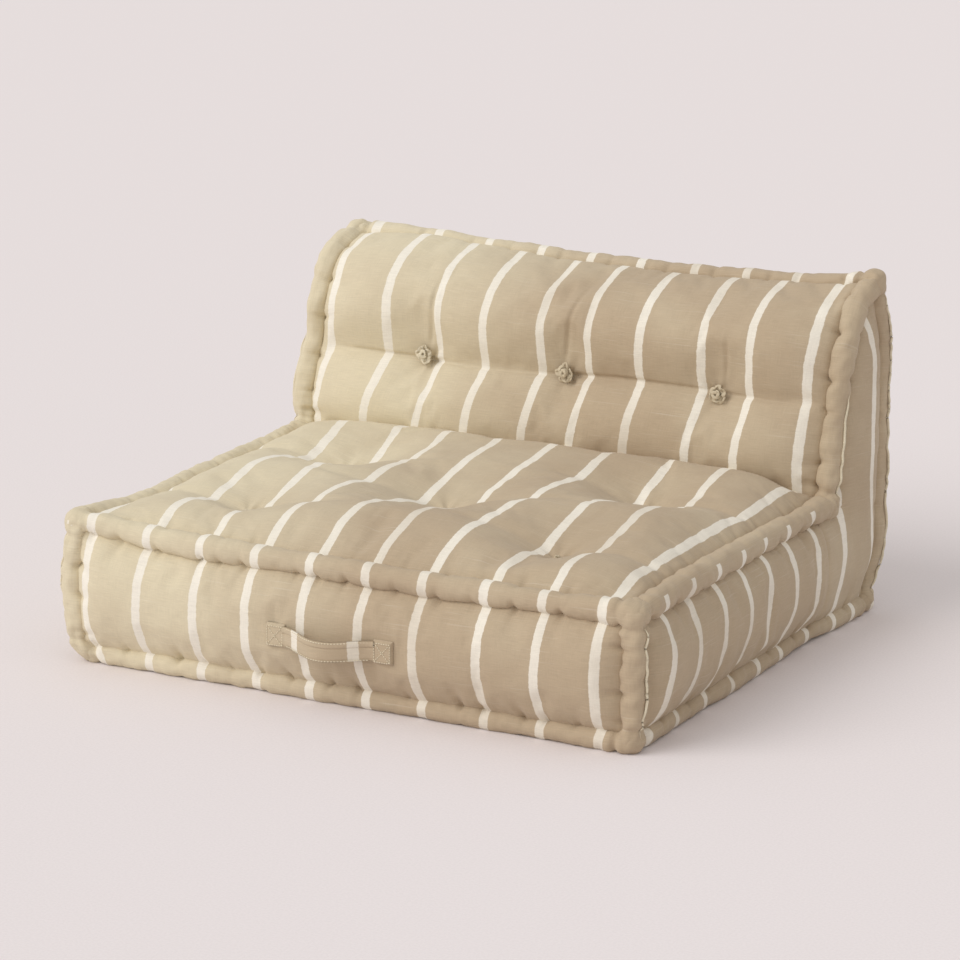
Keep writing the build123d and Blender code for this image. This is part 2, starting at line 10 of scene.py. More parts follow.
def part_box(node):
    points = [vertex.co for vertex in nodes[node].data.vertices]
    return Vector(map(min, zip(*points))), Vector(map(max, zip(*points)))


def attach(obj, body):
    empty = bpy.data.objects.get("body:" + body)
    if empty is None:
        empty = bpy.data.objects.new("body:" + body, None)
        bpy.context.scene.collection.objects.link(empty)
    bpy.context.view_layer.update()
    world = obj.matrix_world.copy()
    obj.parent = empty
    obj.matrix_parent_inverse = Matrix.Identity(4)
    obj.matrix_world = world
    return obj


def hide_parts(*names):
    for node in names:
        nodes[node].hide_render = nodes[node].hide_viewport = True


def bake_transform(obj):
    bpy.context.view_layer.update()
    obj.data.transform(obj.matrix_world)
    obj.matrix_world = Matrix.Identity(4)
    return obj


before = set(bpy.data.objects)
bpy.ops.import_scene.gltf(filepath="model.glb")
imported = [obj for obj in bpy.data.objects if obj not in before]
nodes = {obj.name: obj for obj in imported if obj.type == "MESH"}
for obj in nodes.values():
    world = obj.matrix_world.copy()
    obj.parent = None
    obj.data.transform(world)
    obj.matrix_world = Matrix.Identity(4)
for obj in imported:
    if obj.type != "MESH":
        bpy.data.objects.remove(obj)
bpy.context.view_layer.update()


# Places that the CAD gives

def middle(node):
    """The middle of a node's box."""
    low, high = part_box(node)
    return (low + high) / 2


roll_radius = (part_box("front_top_roll")[1].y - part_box("front_top_roll")[0].y) / 2
front_y = middle("front_top_roll").y
seat_z = middle("front_top_roll").z
rear_y = middle("rear_top_roll").y
head_z = middle("rear_top_roll").z
side_x = middle("right_seat_roll").x
base_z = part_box("front_base_roll")[1].z - roll_radius

foot_y = 0.2855  # the front of the back at the seat's edge
divider_y = 0.2285  # the seam between the two side panels
bend = np.array([0.3205, 0.420])  # where the back's edge begins to curve, in Y and Z
button_z = middle("back_rosette_middle").z
stripe_pitch = 0.1  # from one stripe of the cloth to the next
stripe_width = 0.0152

# Where the photograph shows the stripes, from left to right along X, or from front to rear along Y
front_stripes = (-0.449, -0.364, -0.260, -0.166, -0.064, 0.038, 0.133, 0.243, 0.340, 0.434)
roll_stripes = (-0.448, -0.360, -0.261, -0.161, -0.063, 0.036, 0.134, 0.241, 0.337, 0.436)
head_stripes = (-0.437, -0.332, -0.234, -0.132, -0.035, 0.060, 0.165, 0.263, 0.351, 0.442)
seat_stripes = (-0.456, -0.356, -0.257, -0.157, -0.059, 0.040, 0.138, 0.245, 0.341, 0.436)
back_stripes = (-0.443, -0.346, -0.252, -0.160, -0.051, 0.038, 0.136, 0.249, 0.336, 0.435)
side_stripes = (-0.380, -0.283, -0.188, -0.092, -0.004, 0.090, 0.190, 0.305, 0.388)

# How far the stripes of the seat and back run to the left where the two meet
skew_places = (-0.44, -0.34, -0.24, -0.10, 0.10, 0.30, 0.42)
back_skew = (0.008, 0.024, 0.024, 0.017, 0.011, 0.008, 0.0)
seat_skew = (0.026, 0.026, 0.030, 0.026, 0.018, 0.014, 0.006)


# The back's edge: a straight lean and an arc that leaves it smoothly

foot = np.array([foot_y, seat_z])
lean_way = (bend - foot) / np.linalg.norm(bend - foot)
lean_length = float(np.linalg.norm(bend - foot))
arc_normal = np.array([lean_way[1], -lean_way[0]])
to_head = np.array([rear_y, head_z]) - bend
arc_radius = float(to_head @ to_head / (2 * to_head @ arc_normal))
arc_centre = bend + arc_normal * arc_radius
start_angle = math.atan2(*(bend - arc_centre)[::-1])
end_angle = math.atan2(head_z - arc_centre[1], rear_y - arc_centre[0])
arc_length = arc_radius * (start_angle - end_angle)
path_length = lean_length + arc_length
button_s = (button_z - seat_z) / lean_way[1]


def back_path(s):
    """Points, forward and upward normals of the back's edge, at lengths s from its foot."""
    s = np.asarray(s, float)
    angle = start_angle - np.clip(s - lean_length, 0, None) / arc_radius
    straight = foot + s[..., None] * lean_way
    round_way = np.stack([np.cos(angle), np.sin(angle)], -1)
    curved = arc_centre + arc_radius * round_way
    on_arc = (s > lean_length)[..., None]
    return np.where(on_arc, curved, straight), np.where(on_arc, round_way, -arc_normal)


# Shapes

def rise(distance, reach, power=2.0):
    """From 0 at an edge to 1 at its reach, steep at first and level at last."""
    t = np.clip(distance / reach, 0, 1)
    return 1 - (1 - t) ** power


def dome(distance, reach):
    """The same as a quarter of an ellipse."""
    t = np.clip(distance / reach, 0, 1)
    return np.sqrt(1 - (1 - t) ** 2)


def bell(x, width):
    """1 at no distance, falling evenly to both sides."""
    return np.exp(-((x / width) ** 2))


def smooth(x, low, high):
    """From 0 at low to 1 at high, level at both."""
    t = np.clip((x - low) / (high - low), 0, 1)
    return t * t * (3 - 2 * t)


def ripple(points, size, seed, waves=14):
    """A smooth seeded noise between about -1 and 1, its features about size across."""
    rng = np.random.default_rng(seed)
    ways = rng.normal(size=(waves, 3))
    ways *= (rng.uniform(0.6, 1.5, waves) / np.linalg.norm(ways, axis=1))[:, None] * math.pi / size
    phases = rng.uniform(0, 2 * math.pi, waves)
    total = np.zeros(points.shape[:-1])
    for way, phase in zip(ways, phases):
        total += np.sin(points @ way + phase)
    return total / math.sqrt(waves)


first_stitch, last_stitch = 0.030, 0.022  # how far they stay from a roll's ends
shortest_gap, longest_gap = 0.036, 0.098


def stitch_places(length, seed):
    """Places, strengths and skews of the hand stitches along a roll, unevenly spaced."""
    rng = np.random.default_rng(seed)
    places, at = [], first_stitch
    while at < length - last_stitch:
        places.append(at)
        at += rng.uniform(shortest_gap, longest_gap)
    return np.array(places), rng.uniform(0.35, 1.0, len(places)), rng.uniform(-1, 1, len(places))


# How the filling has sunk and pushed the whole cover

def settled_up(x, y, z):
    """The left of the seat is packed high; its front edge and the middle of the head have sunk."""
    of_seat, of_head = smooth(z, 0.06, seat_z), smooth(z, 0.44, head_z)
    under_back = of_seat * (1 - smooth(z, 0.25, 0.32))
    left, far_left, far_right = bell(x + side_x, 0.10), bell(x + side_x, 0.08), bell(x - side_x, 0.05)
    up = 0.016 * left * bell(y - front_y, 0.13) * of_seat
    up += 0.017 * left * smooth(y, -0.38, 0.10) * under_back
    up += 0.007 * far_left * bell(y + 0.20, 0.16) * under_back
    up -= 0.005 * bell(x - 0.2, 0.25) * bell(y - front_y, 0.12) * of_seat
    up -= 0.017 * np.clip(1 - ((x - 0.13) / 0.46) ** 2, 0, 1) * of_head
    return up + (0.012 * far_right + 0.005 * far_left) * of_head


def corner_pushes(x, y, z):
    """Where the corners stand out: the share of each push, and its length in X and in Y."""
    from_side, off_floor = np.clip(side_x - np.abs(x), 0, None), smooth(z, 0.0, 0.05)
    front = bell(from_side, 0.07) * bell(y - front_y, 0.10) * off_floor
    rear = bell(from_side, 0.09) * bell(y - rear_y, 0.10) * (1 - smooth(z, 0.46, head_z))
    rear *= np.where(x < 0, off_floor, smooth(z, 0.03, 0.12))
    low_right = bell(x - side_x, 0.06) * smooth(y, 0.16, 0.38) * (1 - smooth(z, 0.02, 0.07))
    return (
        (front * (x < 0), -0.016, -0.008),
        (front * (x >= 0), 0.005, -0.003),
        (rear * (x < 0), -0.010, 0.019),
        (rear * (x >= 0), 0.012, 0.019),
        (bell(x - side_x, 0.04) * bell(y - rear_y, 0.05) * smooth(z, 0.50, head_z), 0.008, 0),
        (low_right, 0.012, 0),
        (low_right * smooth(y, 0.30, 0.50), 0, -0.022),
    )


def left_pushes(x, y, z):
    """Where the left side stands out, since the filling has slid that way."""
    loose = bell(np.clip(side_x + x, 0, None), 0.10) * bell(z - 0.32, 0.12)
    loose *= smooth(y, 0.12, 0.26) * (1 - smooth(y, 0.36, 0.46))
    far = smooth(-x, 0.30, 0.46) * smooth(y, -0.30, 0.22)
    high = smooth(z, 0.39, 0.47) * (1 - smooth(y, 0.38, 0.46))
    return (
        (bell(x + side_x, 0.06) * smooth(z, 0.46, 0.54), -0.008, 0),
        (bell(x + side_x, 0.07) * bell(y - front_y, 0.09) * bell(z - 0.12, 0.07), -0.009, 0),
        (loose, -0.022, -0.008),
        (far, -0.016, 0),
        (far * (1 - smooth(z, 0.26, 0.38)), -0.006, 0),
        (far * high, -0.001, -0.026),
    )


def settle(co):
    """Moves points of any piece with the filling under them."""
    x, y, z = co.T
    out = co.copy()
    out[:, 2] = np.maximum(z + settled_up(x, y, z), 0)
    for share, step_x, step_y in (*corner_pushes(x, y, z), *left_pushes(x, y, z)):
        out[:, 0] += share * step_x
        out[:, 1] += share * step_y
    return out


# Meshes

def add_object(name, data):
    made = bpy.data.objects.new(name, data)
    bpy.context.scene.collection.objects.link(made)
    return made


def shade_smooth(mesh):
    mesh.polygons.foreach_set("use_smooth", np.ones(len(mesh.polygons), bool))
    mesh.update()


def grid_piece(name, points, cloth, outward, plain_columns=None):
    """A mesh over a grid of points, with the cloth's own coordinates as its UV."""
    rows, columns = points.shape[:2]
    index = np.arange(rows * columns).reshape(rows, columns)
    corners = [index[:-1, :-1], index[1:, :-1], index[1:, 1:], index[:-1, 1:]]
    faces = np.stack([c.ravel() for c in corners], -1)
    flat = points.reshape(-1, 3)
    a, b, c = flat[faces[:, 0]], flat[faces[:, 1]], flat[faces[:, 2]]
    normals = np.cross(b - a, c - a)
    way = outward((a + c) / 2) if callable(outward) else np.array(outward)
    if (normals * way).sum() < 0:
        faces = faces[:, ::-1]
    mesh = bpy.data.meshes.new(name)
    mesh.from_pydata(flat.tolist(), [], faces.tolist())
    uv = cloth.reshape(-1, 2)[faces]
    if plain_columns is not None:
        uv[np.tile(plain_columns, rows - 1), :, 0] = stripe_pitch / 2
    layer = mesh.uv_layers.new(name="cloth")
    layer.data.foreach_set("uv", uv.astype(np.float32).ravel())
    shade_smooth(mesh)
    return add_object(name, mesh)


def of_vertices(mesh, kind="co"):
    """The places of a mesh's vertices, or their normals."""
    values = np.zeros(len(mesh.vertices) * 3, np.float32)
    mesh.vertices.foreach_get(kind, values)
    return values.reshape(-1, 3).astype(float)


def place_vertices(piece, co):
    piece.data.vertices.foreach_set("co", co.astype(np.float32).ravel())
    piece.data.update()


def subdivide(piece, levels):
    """Makes a piece's mesh finer and rounder."""
    modifier = piece.modifiers.new("finer", "SUBSURF")
    modifier.levels = modifier.render_levels = levels
    modifier.boundary_smooth = "PRESERVE_CORNERS"
    graph = bpy.context.evaluated_depsgraph_get()
    mesh = bpy.data.meshes.new_from_object(piece.evaluated_get(graph), depsgraph=graph)
    piece.modifiers.clear()
    piece.data = mesh
    shade_smooth(mesh)


def stripe_coordinate(place, stripes):
    """The cloth's own coordinate, in which the stripes lie at whole pitches and the fifth at 0."""
    whole = (np.arange(len(stripes)) - 4) * stripe_pitch
    known = (stripes[0] - 1, *stripes, stripes[-1] + 1)
    return np.interp(place, known, (whole[0] - 1, *whole, whole[-1] + 1))


# Simulation of the filled cloth

linen = {
    "quality": 4, "mass": 0.4, "air_damping": 6, "shrink_min": -0.012,
    "tension_stiffness": 22, "compression_stiffness": 22, "shear_stiffness": 8, "bending_stiffness": 1.2,
    "vertex_group_mass": "held", "pin_stiffness": 1, "use_pressure": True,
}


def inflate(piece, held, pressure, cap, frames=14):
    """Lets the filling push the cloth out between the places where it is held."""
    before = of_vertices(piece.data)
    group = piece.vertex_groups.new(name="held")
    for i in np.nonzero(held > 0.01)[0]:
        group.add([int(i)], float(held[i]), "REPLACE")
    modifier = piece.modifiers.new("filling", "CLOTH")
    for setting, value in linen.items():
        setattr(modifier.settings, setting, value)
    modifier.settings.uniform_pressure_force = pressure
    modifier.settings.effector_weights.gravity = 0
    modifier.collision_settings.use_collision = False
    modifier.point_cache.frame_start, modifier.point_cache.frame_end = 1, frames
    scene = bpy.context.scene
    for number in range(1, frames + 1):
        scene.frame_set(number)
    graph = bpy.context.evaluated_depsgraph_get()
    step = of_vertices(piece.evaluated_get(graph).data) - before
    piece.modifiers.clear()
    scene.frame_set(1)
    length = np.linalg.norm(step, axis=1, keepdims=True)
    step *= np.minimum(1, cap / np.maximum(length, 1e-9))
    place_vertices(piece, before + step)


# Rolled borders

stitches = {}  # the places, strengths and skews of each roll's stitches
binding_lines = {}  # the line beside each roll where a side panel's light binding runs
striped_from = 0.15  # how far round a seat roll its striped strip begins, from the crest
tie_place = 0.021  # how far from its end a roll is tied in, which leaves an ear
binding_tilt, binding_lift = 0.20, 0.0020  # the binding's turn toward the crest, and its height
cap_turn = np.linspace(0, math.pi / 2, 8)


def roll_line(start, end, reach=roll_radius, step=0.003):
    """Lengths and points along a straight roll's middle, with its rounded ends."""
    start, end = np.array(start, float), np.array(end, float)
    length = np.linalg.norm(end - start)
    s = np.concatenate([
        -reach * np.cos(cap_turn)[:-1],
        np.linspace(0, length, max(int(length / step), 2)),
        length + reach * np.sin(cap_turn)[1:],
    ])
    return s, start + s[:, None] * (end - start) / length, length


def back_line(sx, step=0.003):
    """The same for a back roll, which rises, bends and runs to the head."""
    s = np.concatenate([
        np.linspace(0, path_length, int(path_length / step)),
        path_length + roll_radius * np.sin(cap_turn)[1:],
    ])
    inside = np.clip(s, 0, path_length)
    places, normals = back_path(inside)
    end_way = np.array([normals[-1][1], -normals[-1][0]])
    places = places + (s - inside)[:, None] * end_way
    return s, np.stack([np.full(len(s), sx * side_x), places[:, 0], places[:, 1]], -1), path_length


def roll_axes(centre, outward):
    """For each point of a roll's middle the ways to its crest and to its flank."""
    way = np.gradient(centre, axis=0)
    way /= np.linalg.norm(way, axis=1)[:, None]
    crest = outward - (outward * way).sum(1)[:, None] * way
    crest /= np.linalg.norm(crest, axis=1)[:, None]
    return crest, np.cross(way, crest)


def rounded_ends(s, length):
    """The share of its radius that a roll has at each length: 1 between its ends, 0 at the tips."""
    reach = max(-s[0], s[-1] - length)
    beyond = np.clip(np.maximum(-s, s - length), 0, None)
    return np.sqrt(np.clip(1 - (beyond / reach) ** 2, 0, 1))


def roll_swell(node, around, along, length):
    """How far a roll stands out between its stitches and is drawn in at them and at its ties."""
    seam = bell(np.abs(around) - 1.75, 0.75)
    swell = 0.0012 * bell(np.abs(around), 1.2) + 0.0018 * seam
    for place, strength, skew in zip(*stitches[node]):
        off = along - place - 0.006 * skew * np.sin(around)
        swell -= strength * (0.0009 + 0.0044 * seam) * bell(off, 0.0055)
        swell -= strength * 0.0022 * seam * bell(off, 0.015)
    for tie in (tie_place, length - tie_place):
        swell -= 0.0040 * bell(along - tie, 0.0045)
    return swell


def roll_cloth(points, around, along, stripes, striped_side, shift):
    """The cloth's coordinates: stripes across the roll, or a plain strip along it."""
    if stripes is None:
        return np.stack([stripe_pitch / 2 + 0.45 * roll_radius * around, along + shift], -1)
    place = points[..., 0 if striped_side == "x" else 1]
    return np.stack([stripe_coordinate(place, stripes), roll_radius * around + shift], -1)


def make_roll(node, line, outward, stripes, striped_side, seed, size=roll_radius, crumple=0.0005):
    """A stuffed roll along a border, drawn in by its stitches, with a small ear at each end."""
    s, centre, length = line
    stitches[node] = stitch_places(length, seed)
    crest, flank = roll_axes(centre, np.broadcast_to(np.array(outward, float), centre.shape))
    theta = np.linspace(-math.pi, math.pi, 45)
    around, along = np.meshgrid(theta, s)
    cap = rounded_ends(s, length)[:, None]
    direction = np.cos(around)[..., None] * crest[:, None] + np.sin(around)[..., None] * flank[:, None]
    radius = (size * 0.985 + roll_swell(node, around, along, length)) * cap
    points = centre[:, None] + radius[..., None] * direction
    near_end = bell(along - 0.01, 0.030) + bell(along - length + 0.01, 0.030)
    wander = 0.0016 * ripple(points, 0.11, seed + 1) + 0.0008 * ripple(points, 0.030, seed + 2)
    wander += (crumple + 0.0012 * near_end) * ripple(points, 0.012, seed + 3)
    points = points + (wander * cap)[..., None] * direction
    cloth = roll_cloth(points, around, along, stripes, striped_side, seed * 0.37)
    turned = (theta[:-1] + theta[1:]) / 2
    plain = {"flank": turned < striped_from, "other_flank": turned > -striped_from}.get(striped_side)
    piece = grid_piece(node + "_cloth", points, cloth, lambda at: at - nearest_centre(at, centre), plain)
    place_vertices(piece, settle(of_vertices(piece.data)))
    finish_piece(piece, "striped_cloth", (node,))
    facing = [0, binding_tilt, binding_tilt] * crest + [np.sign(centre[0, 0]), 0, 0]
    nearest = (direction * facing[:, None]).sum(-1).argmax(1)
    inside = (s > 0.006) & (s < length - 0.012)
    binding_lines[node] = (points[np.arange(len(s)), nearest] + binding_lift * facing)[inside]


def nearest_centre(points, centre):
    """For every point the nearest of some centres, thinned for speed."""
    few = centre[:: max(len(centre) // 60, 1)]
    gaps = ((points[:, None] - few[None]) ** 2).sum(-1)
    return few[gaps.argmin(1)]


def finish_piece(piece, slot, replaced=()):
    """Its material, body, slot and what it stands for."""
    piece.data.materials.clear()
    piece.data.materials.append(materials[slot])
    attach(piece, "body")
    if replaced:
        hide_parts(*replaced)


def drawn_in(along, away, node, depth=0.0050):
    """How far a roll's stitches draw in the panel beside it, at a distance away from the roll."""
    total = np.zeros_like(along)
    near = np.clip(away - roll_radius * 0.8, 0, None)
    for place, strength, skew in zip(*stitches[node]):
        off = along - place - skew * 0.25 * near
        total += strength * bell(off, 0.0055 + 0.22 * near) * np.exp(-near / 0.022)
    return depth * total


# Materials

def srgb(red, green, blue):
    """A colour as linear values from its 0 to 255 screen values."""
    values = []
    for value in (red, green, blue):
        value /= 255
        values.append(value / 12.92 if value <= 0.04045 else ((value + 0.055) / 1.055) ** 2.4)
    return (*values, 1)


class Tree:
    """Short ways to add and join shader nodes."""

    def __init__(self, tree):
        self.tree = tree

    def node(self, kind, **values):
        made = self.tree.nodes.new(kind)
        for name, value in values.items():
            setattr(made, name, value)
        return made

    def put(self, value, socket):
        """Joins another node's output to a socket, or sets its plain value."""
        if hasattr(value, "links"):
            self.tree.links.new(value, socket)
        else:
            socket.default_value = value

    def fill(self, node, values):
        for name, value in values.items():
            self.put(value, node.inputs[name])

    def math(self, operation, *values):
        made = self.node("ShaderNodeMath", operation=operation)
        for value, socket in zip(values, made.inputs):
            self.put(value, socket)
        return made.outputs[0]

    def range(self, value, low, high, to_low=0.0, to_high=1.0, kind="SMOOTHSTEP"):
        """The value from low to high brought to another range, and kept inside it."""
        made = self.node("ShaderNodeMapRange", interpolation_type=kind)
        for number, given in enumerate((value, low, high, to_low, to_high)):
            self.put(given, made.inputs[number])
        return made.outputs[0]

    def linear(self, value, low, high, to_low=0.0, to_high=1.0):
        return self.range(value, low, high, to_low, to_high, "LINEAR")

    def mix(self, factor, a, b, blend="MIX"):
        """A mix of two colours; the node has its sockets for colours after those for other kinds."""
        made = self.node("ShaderNodeMix", data_type="RGBA", blend_type=blend)
        self.put(factor, made.inputs[0])
        self.put(a, made.inputs[6])
        self.put(b, made.inputs[7])
        return made.outputs[2]

    def scaled(self, vector, scale):
        made = self.node("ShaderNodeVectorMath", operation="MULTIPLY")
        self.put(vector, made.inputs[0])
        self.put(scale, made.inputs[1])
        return made.outputs[0]

    def noise(self, vector, scale, detail=3.0, roughness=0.55):
        made = self.node("ShaderNodeTexNoise")
        self.fill(made, {"Vector": vector, "Scale": scale, "Detail": detail, "Roughness": roughness})
        return made.outputs["Fac"]

    def bump(self, height, strength, distance):
        made = self.node("ShaderNodeBump")
        self.fill(made, {"Height": height, "Strength": strength, "Distance": distance})
        return made


def node_material(name):
    """A new material, its tree and its shader."""
    material = bpy.data.materials.new(name)
    material.use_nodes = True
    material.node_tree.nodes.clear()
    t = Tree(material.node_tree)
    shader = t.node("ShaderNodeBsdfPrincipled")
    t.put(shader.outputs[0], t.node("ShaderNodeOutputMaterial").inputs[0])
    return material, t, shader


def striped_light(t, uv, tone_and_painted_shade_across, patches, ground, plain):
    """The cloth's colour with its woven stripes, whose edges wander a little, which have worn in patches,
    and which darken toward the right as painted shade.
    """
    parts = t.node("ShaderNodeSeparateXYZ")
    t.put(uv, parts.inputs[0])
    wobble = t.noise(t.scaled(uv, (1, 140, 1)), 1.0, 3.0, 0.6)
    drift = t.noise(t.scaled(uv, (3, 9, 1)), 1.0, 2.0, 0.5)
    u = t.math("ADD", parts.outputs[0], t.linear(wobble, 0.0, 1.0, -0.0016, 0.0016))
    u = t.math("ADD", u, t.linear(drift, 0.0, 1.0, -0.005, 0.005))
    off = t.math("ABSOLUTE", t.math("WRAP", u, stripe_pitch / 2, -stripe_pitch / 2))
    half, blur = stripe_width / 2, 0.0006
    stripe = t.range(off, half + blur, half - blur)
    # the stripes' wear in random patches, toward a ground colour that also carries painted shade
    worn_and_shaded = t.mix(t.range(patches, 0.35, 0.75, 0.05, 0.40), cream, ground)
    # painted shade: the stripes go from cream at the left to the worn and shaded colour at the right
    return t.mix(stripe, plain, t.mix(t.range(tone_and_painted_shade_across, 0.0, 1.0, 0.12, 1.0), cream, worn_and_shaded))


def woven(name, striped, warm_tone_and_painted_shade, cool_tone_and_painted_light, weave=1.0):
    """Slubby linen: uneven threads both ways, faded patches, painted shade that darkens it from left to
    right, and woven stripes where asked.
    """
    material, t, shader = node_material(name)
    uv = t.node("ShaderNodeUVMap", uv_map="cloth").outputs[0]
    place = t.node("ShaderNodeTexCoord").outputs["Object"]
    weft, warp = (
        t.linear(t.noise(t.scaled(uv, scale), 1.0, 4.0, 0.65), 0.25, 0.75, -0.5, 0.5)
        for scale in ((38, 900, 1), (900, 38, 1))
    )
    threads = t.math("ADD", weft, t.math("MULTIPLY", warp, 0.6))
    patches = t.noise(place, 5.5, 3.0, 0.5)
    side = t.node("ShaderNodeSeparateXYZ")
    t.put(place, side.inputs[0])
    # painted light: the cloth is lighter at the left and darker toward the right, standing in for the key
    # light from the left; partly it is also the cloth's own tone, warmer at the right
    tone_and_painted_shade_across = t.range(side.outputs[0], -0.42, 0.12)
    tint_and_painted_shade = t.math("ADD", tone_and_painted_shade_across, t.linear(patches, 0.30, 0.70, -0.22, 0.22))
    ground = t.mix(t.linear(tint_and_painted_shade, 0.0, 1.0), cool_tone_and_painted_light, warm_tone_and_painted_shade)
    slubs = t.range(t.noise(t.scaled(uv, (9, 420, 1)), 1.0, 2.0, 0.5), 0.60, 0.78)
    light = t.mix(t.math("MULTIPLY", slubs, 0.16), ground, cream)
    if striped:
        light = striped_light(t, uv, tone_and_painted_shade_across, patches, ground, light)
    shade, shading = t.node("ShaderNodeCombineXYZ"), t.linear(threads, -0.6, 0.6, 0.875, 1.085)
    t.fill(shade, {"X": shading, "Y": shading, "Z": shading})
    crumple = t.bump(t.noise(place, 38.0, 4.0, 0.6), 0.30, 0.004)
    thread_bump = t.bump(threads, 0.55 * weave, 0.0006)
    t.put(crumple.outputs[0], thread_bump.inputs["Normal"])
    t.fill(shader, {
        "Base Color": t.mix(1.0, light, shade.outputs[0], "MULTIPLY"),
        "Roughness": t.linear(threads, -0.6, 0.6, 0.82, 0.95),
        "Normal": thread_bump.outputs[0],
        "Sheen Weight": 0.12, "Sheen Roughness": 0.5, "Specular IOR Level": 0.18,
    })
    return material


def fibrous(name, light, dark, scale, roughness=0.85, twist=0.0):
    """Thread, cord, felt or wadding: fine fibres, with a twist for a cord."""
    material, t, shader = node_material(name)
    place = t.node("ShaderNodeTexCoord").outputs["Object"]
    height = fibres = t.noise(place, scale, 5.0, 0.65)
    if twist:
        wave = t.node("ShaderNodeTexWave", wave_type="BANDS", bands_direction="DIAGONAL")
        t.fill(wave, {"Vector": place, "Scale": twist})
        height = t.math("ADD", fibres, wave.outputs["Fac"])
    t.fill(shader, {
        "Base Color": t.mix(t.range(height, 0.3, 0.75), dark, light),
        "Roughness": t.linear(fibres, 0.2, 0.8, roughness - 0.1, roughness + 0.08),
        "Normal": t.bump(height, 0.5, 0.0005).outputs[0],
        "Sheen Weight": 0.1, "Specular IOR Level": 0.2,
    })
    return material


cream = srgb(243, 237, 224)
materials = {
    # each woven cloth's second colour is its lighter left end: its own cooler tone, partly painted light
    "striped_cloth": woven("striped_cloth", True, srgb(187, 168, 142), srgb(221, 209, 181)),
    "base_cloth": woven("base_cloth", False, srgb(176, 160, 134), srgb(188, 173, 143)),
    # painted light: the rosettes' cloth is lighter than the cover's, to offset the shade in the dimples
    # round the knots
    "rosette_cloth": woven("rosette_cloth", False, srgb(204, 189, 162), srgb(228, 218, 194), 1.4),
    "thread": fibrous("thread", srgb(240, 231, 209), srgb(214, 202, 174), 900, 0.75),
    "felt": fibrous("felt", srgb(150, 140, 124), srgb(112, 102, 88), 700, 0.95),
    "tufting_cord": fibrous("tufting_cord", srgb(214, 200, 170), srgb(160, 144, 114), 600, 0.8, 260),
    "wadding": fibrous("wadding", srgb(232, 226, 214), srgb(198, 190, 176), 300, 0.95),
}


# Camera, from lines of the photograph that are known in the object

focal_pixels, picture_side, sensor_width = 3438.045, 960, 36
azimuth, elevation, roll_angle = math.radians(27.905), math.radians(13.83), math.radians(0.46)
shift_right, shift_up, camera_distance, aim_z = 0.014, -0.011, 5.657, 0.25
camera = add_object("camera", bpy.data.cameras.new("camera"))
camera.data.sensor_width = sensor_width
camera.data.lens = focal_pixels / picture_side * sensor_width
camera.data.clip_end = 200
facing = Matrix.Rotation(azimuth, 4, "Z") @ Matrix.Rotation(math.pi / 2 - elevation, 4, "X")
off_aim = Matrix.Translation((-shift_right, -shift_up, camera_distance))
camera.matrix_world = (
    Matrix.Translation((0, 0, aim_z)) @ facing @ Matrix.Rotation(roll_angle, 4, "Z") @ off_aim
)
bpy.context.scene.camera = camera


# Rolls

base_radius = 0.0165  # the weight has pressed the rolls at the base
upright_radius, edge_radius = 0.0185, 0.0190
low_z = base_z - roll_radius + base_radius
side_base_stripes = (-0.425, -0.325, -0.216, -0.122, -0.014, 0.074, 0.186, 0.283, 0.355)


def corner(sx, y, z):
    return (sx * side_x, y, z)


for node, y, z, out, stripes, size, seed in (
    ("front_top_roll", front_y, seat_z, (0, -1, 1), roll_stripes, roll_radius, 11),
    ("front_base_roll", front_y, low_z, (0, -1, -0.6), roll_stripes, base_radius, 12),
    ("rear_top_roll", rear_y, head_z, (0, 1, 1), head_stripes, roll_radius, 13),
    ("rear_base_roll", rear_y, low_z, (0, 1, -0.6), roll_stripes, base_radius, 14),
):
    make_roll(node, roll_line(corner(-1, y, z), corner(1, y, z), size), out, stripes, "x", seed, size)
for side, sx, seed in (("left", -1, 20), ("right", 1, 30)):
    turned_to = "other_flank" if sx < 0 else "flank"
    line = roll_line(corner(sx, front_y, low_z), corner(sx, rear_y, low_z), base_radius)
    make_roll(side + "_base_roll", line, (sx, 0, -0.6), side_base_stripes, "y", seed, base_radius)
    line = roll_line(corner(sx, front_y, seat_z), corner(sx, foot_y, seat_z))
    make_roll(side + "_seat_roll", line, (sx, 0, 1), side_stripes, turned_to, seed + 1, edge_radius, 0.0009)
    line = roll_line(corner(sx, front_y, base_z), corner(sx, front_y, seat_z))
    make_roll(f"front_{side}_roll", line, (sx, -1, 0), None, None, seed + 2, upright_radius, 0.0012)
    line = roll_line(corner(sx, rear_y, base_z), corner(sx, rear_y, head_z))
    make_roll(f"rear_{side}_roll", line, (sx, 1, 0), None, None, seed + 3, upright_radius, 0.0009)
    line = back_line(sx)
    normals = back_path(np.clip(line[0], 0, path_length))[1]
    outward = np.insert(normals, 0, sx, axis=1)
    make_roll(side + "_back_roll", line, outward, None, None, seed + 4, edge_radius, 0.0008)


# Covers

cover_step, panel_step, base_step = 0.008, 0.0072, 0.012  # the grids before they are made finer
seat_tuck, back_tuck = 0.016, 0.030  # how far the seat and back covers run on where they meet
wide_hold, narrow_hold = (0.012, 0.030), (0.010, 0.026)  # how far from its edge a cover comes free
knot_radius = 0.013
overlap = 0.012  # how far a roll lies over a cover before the cover begins to rise


def span(low, high, step=cover_step):
    return np.linspace(low, high, max(int(round((high - low) / step)), 2) + 1)


def grid(first, second):
    return np.meshgrid(first, second, indexing="ij")


def nearest_edge(*distances):
    return np.minimum.reduce(distances)


def from_knots(x, y, knots):
    """How far points are from each of some knots."""
    return [np.hypot(x - knot_x, y - knot_y) for knot_x, knot_y in knots]


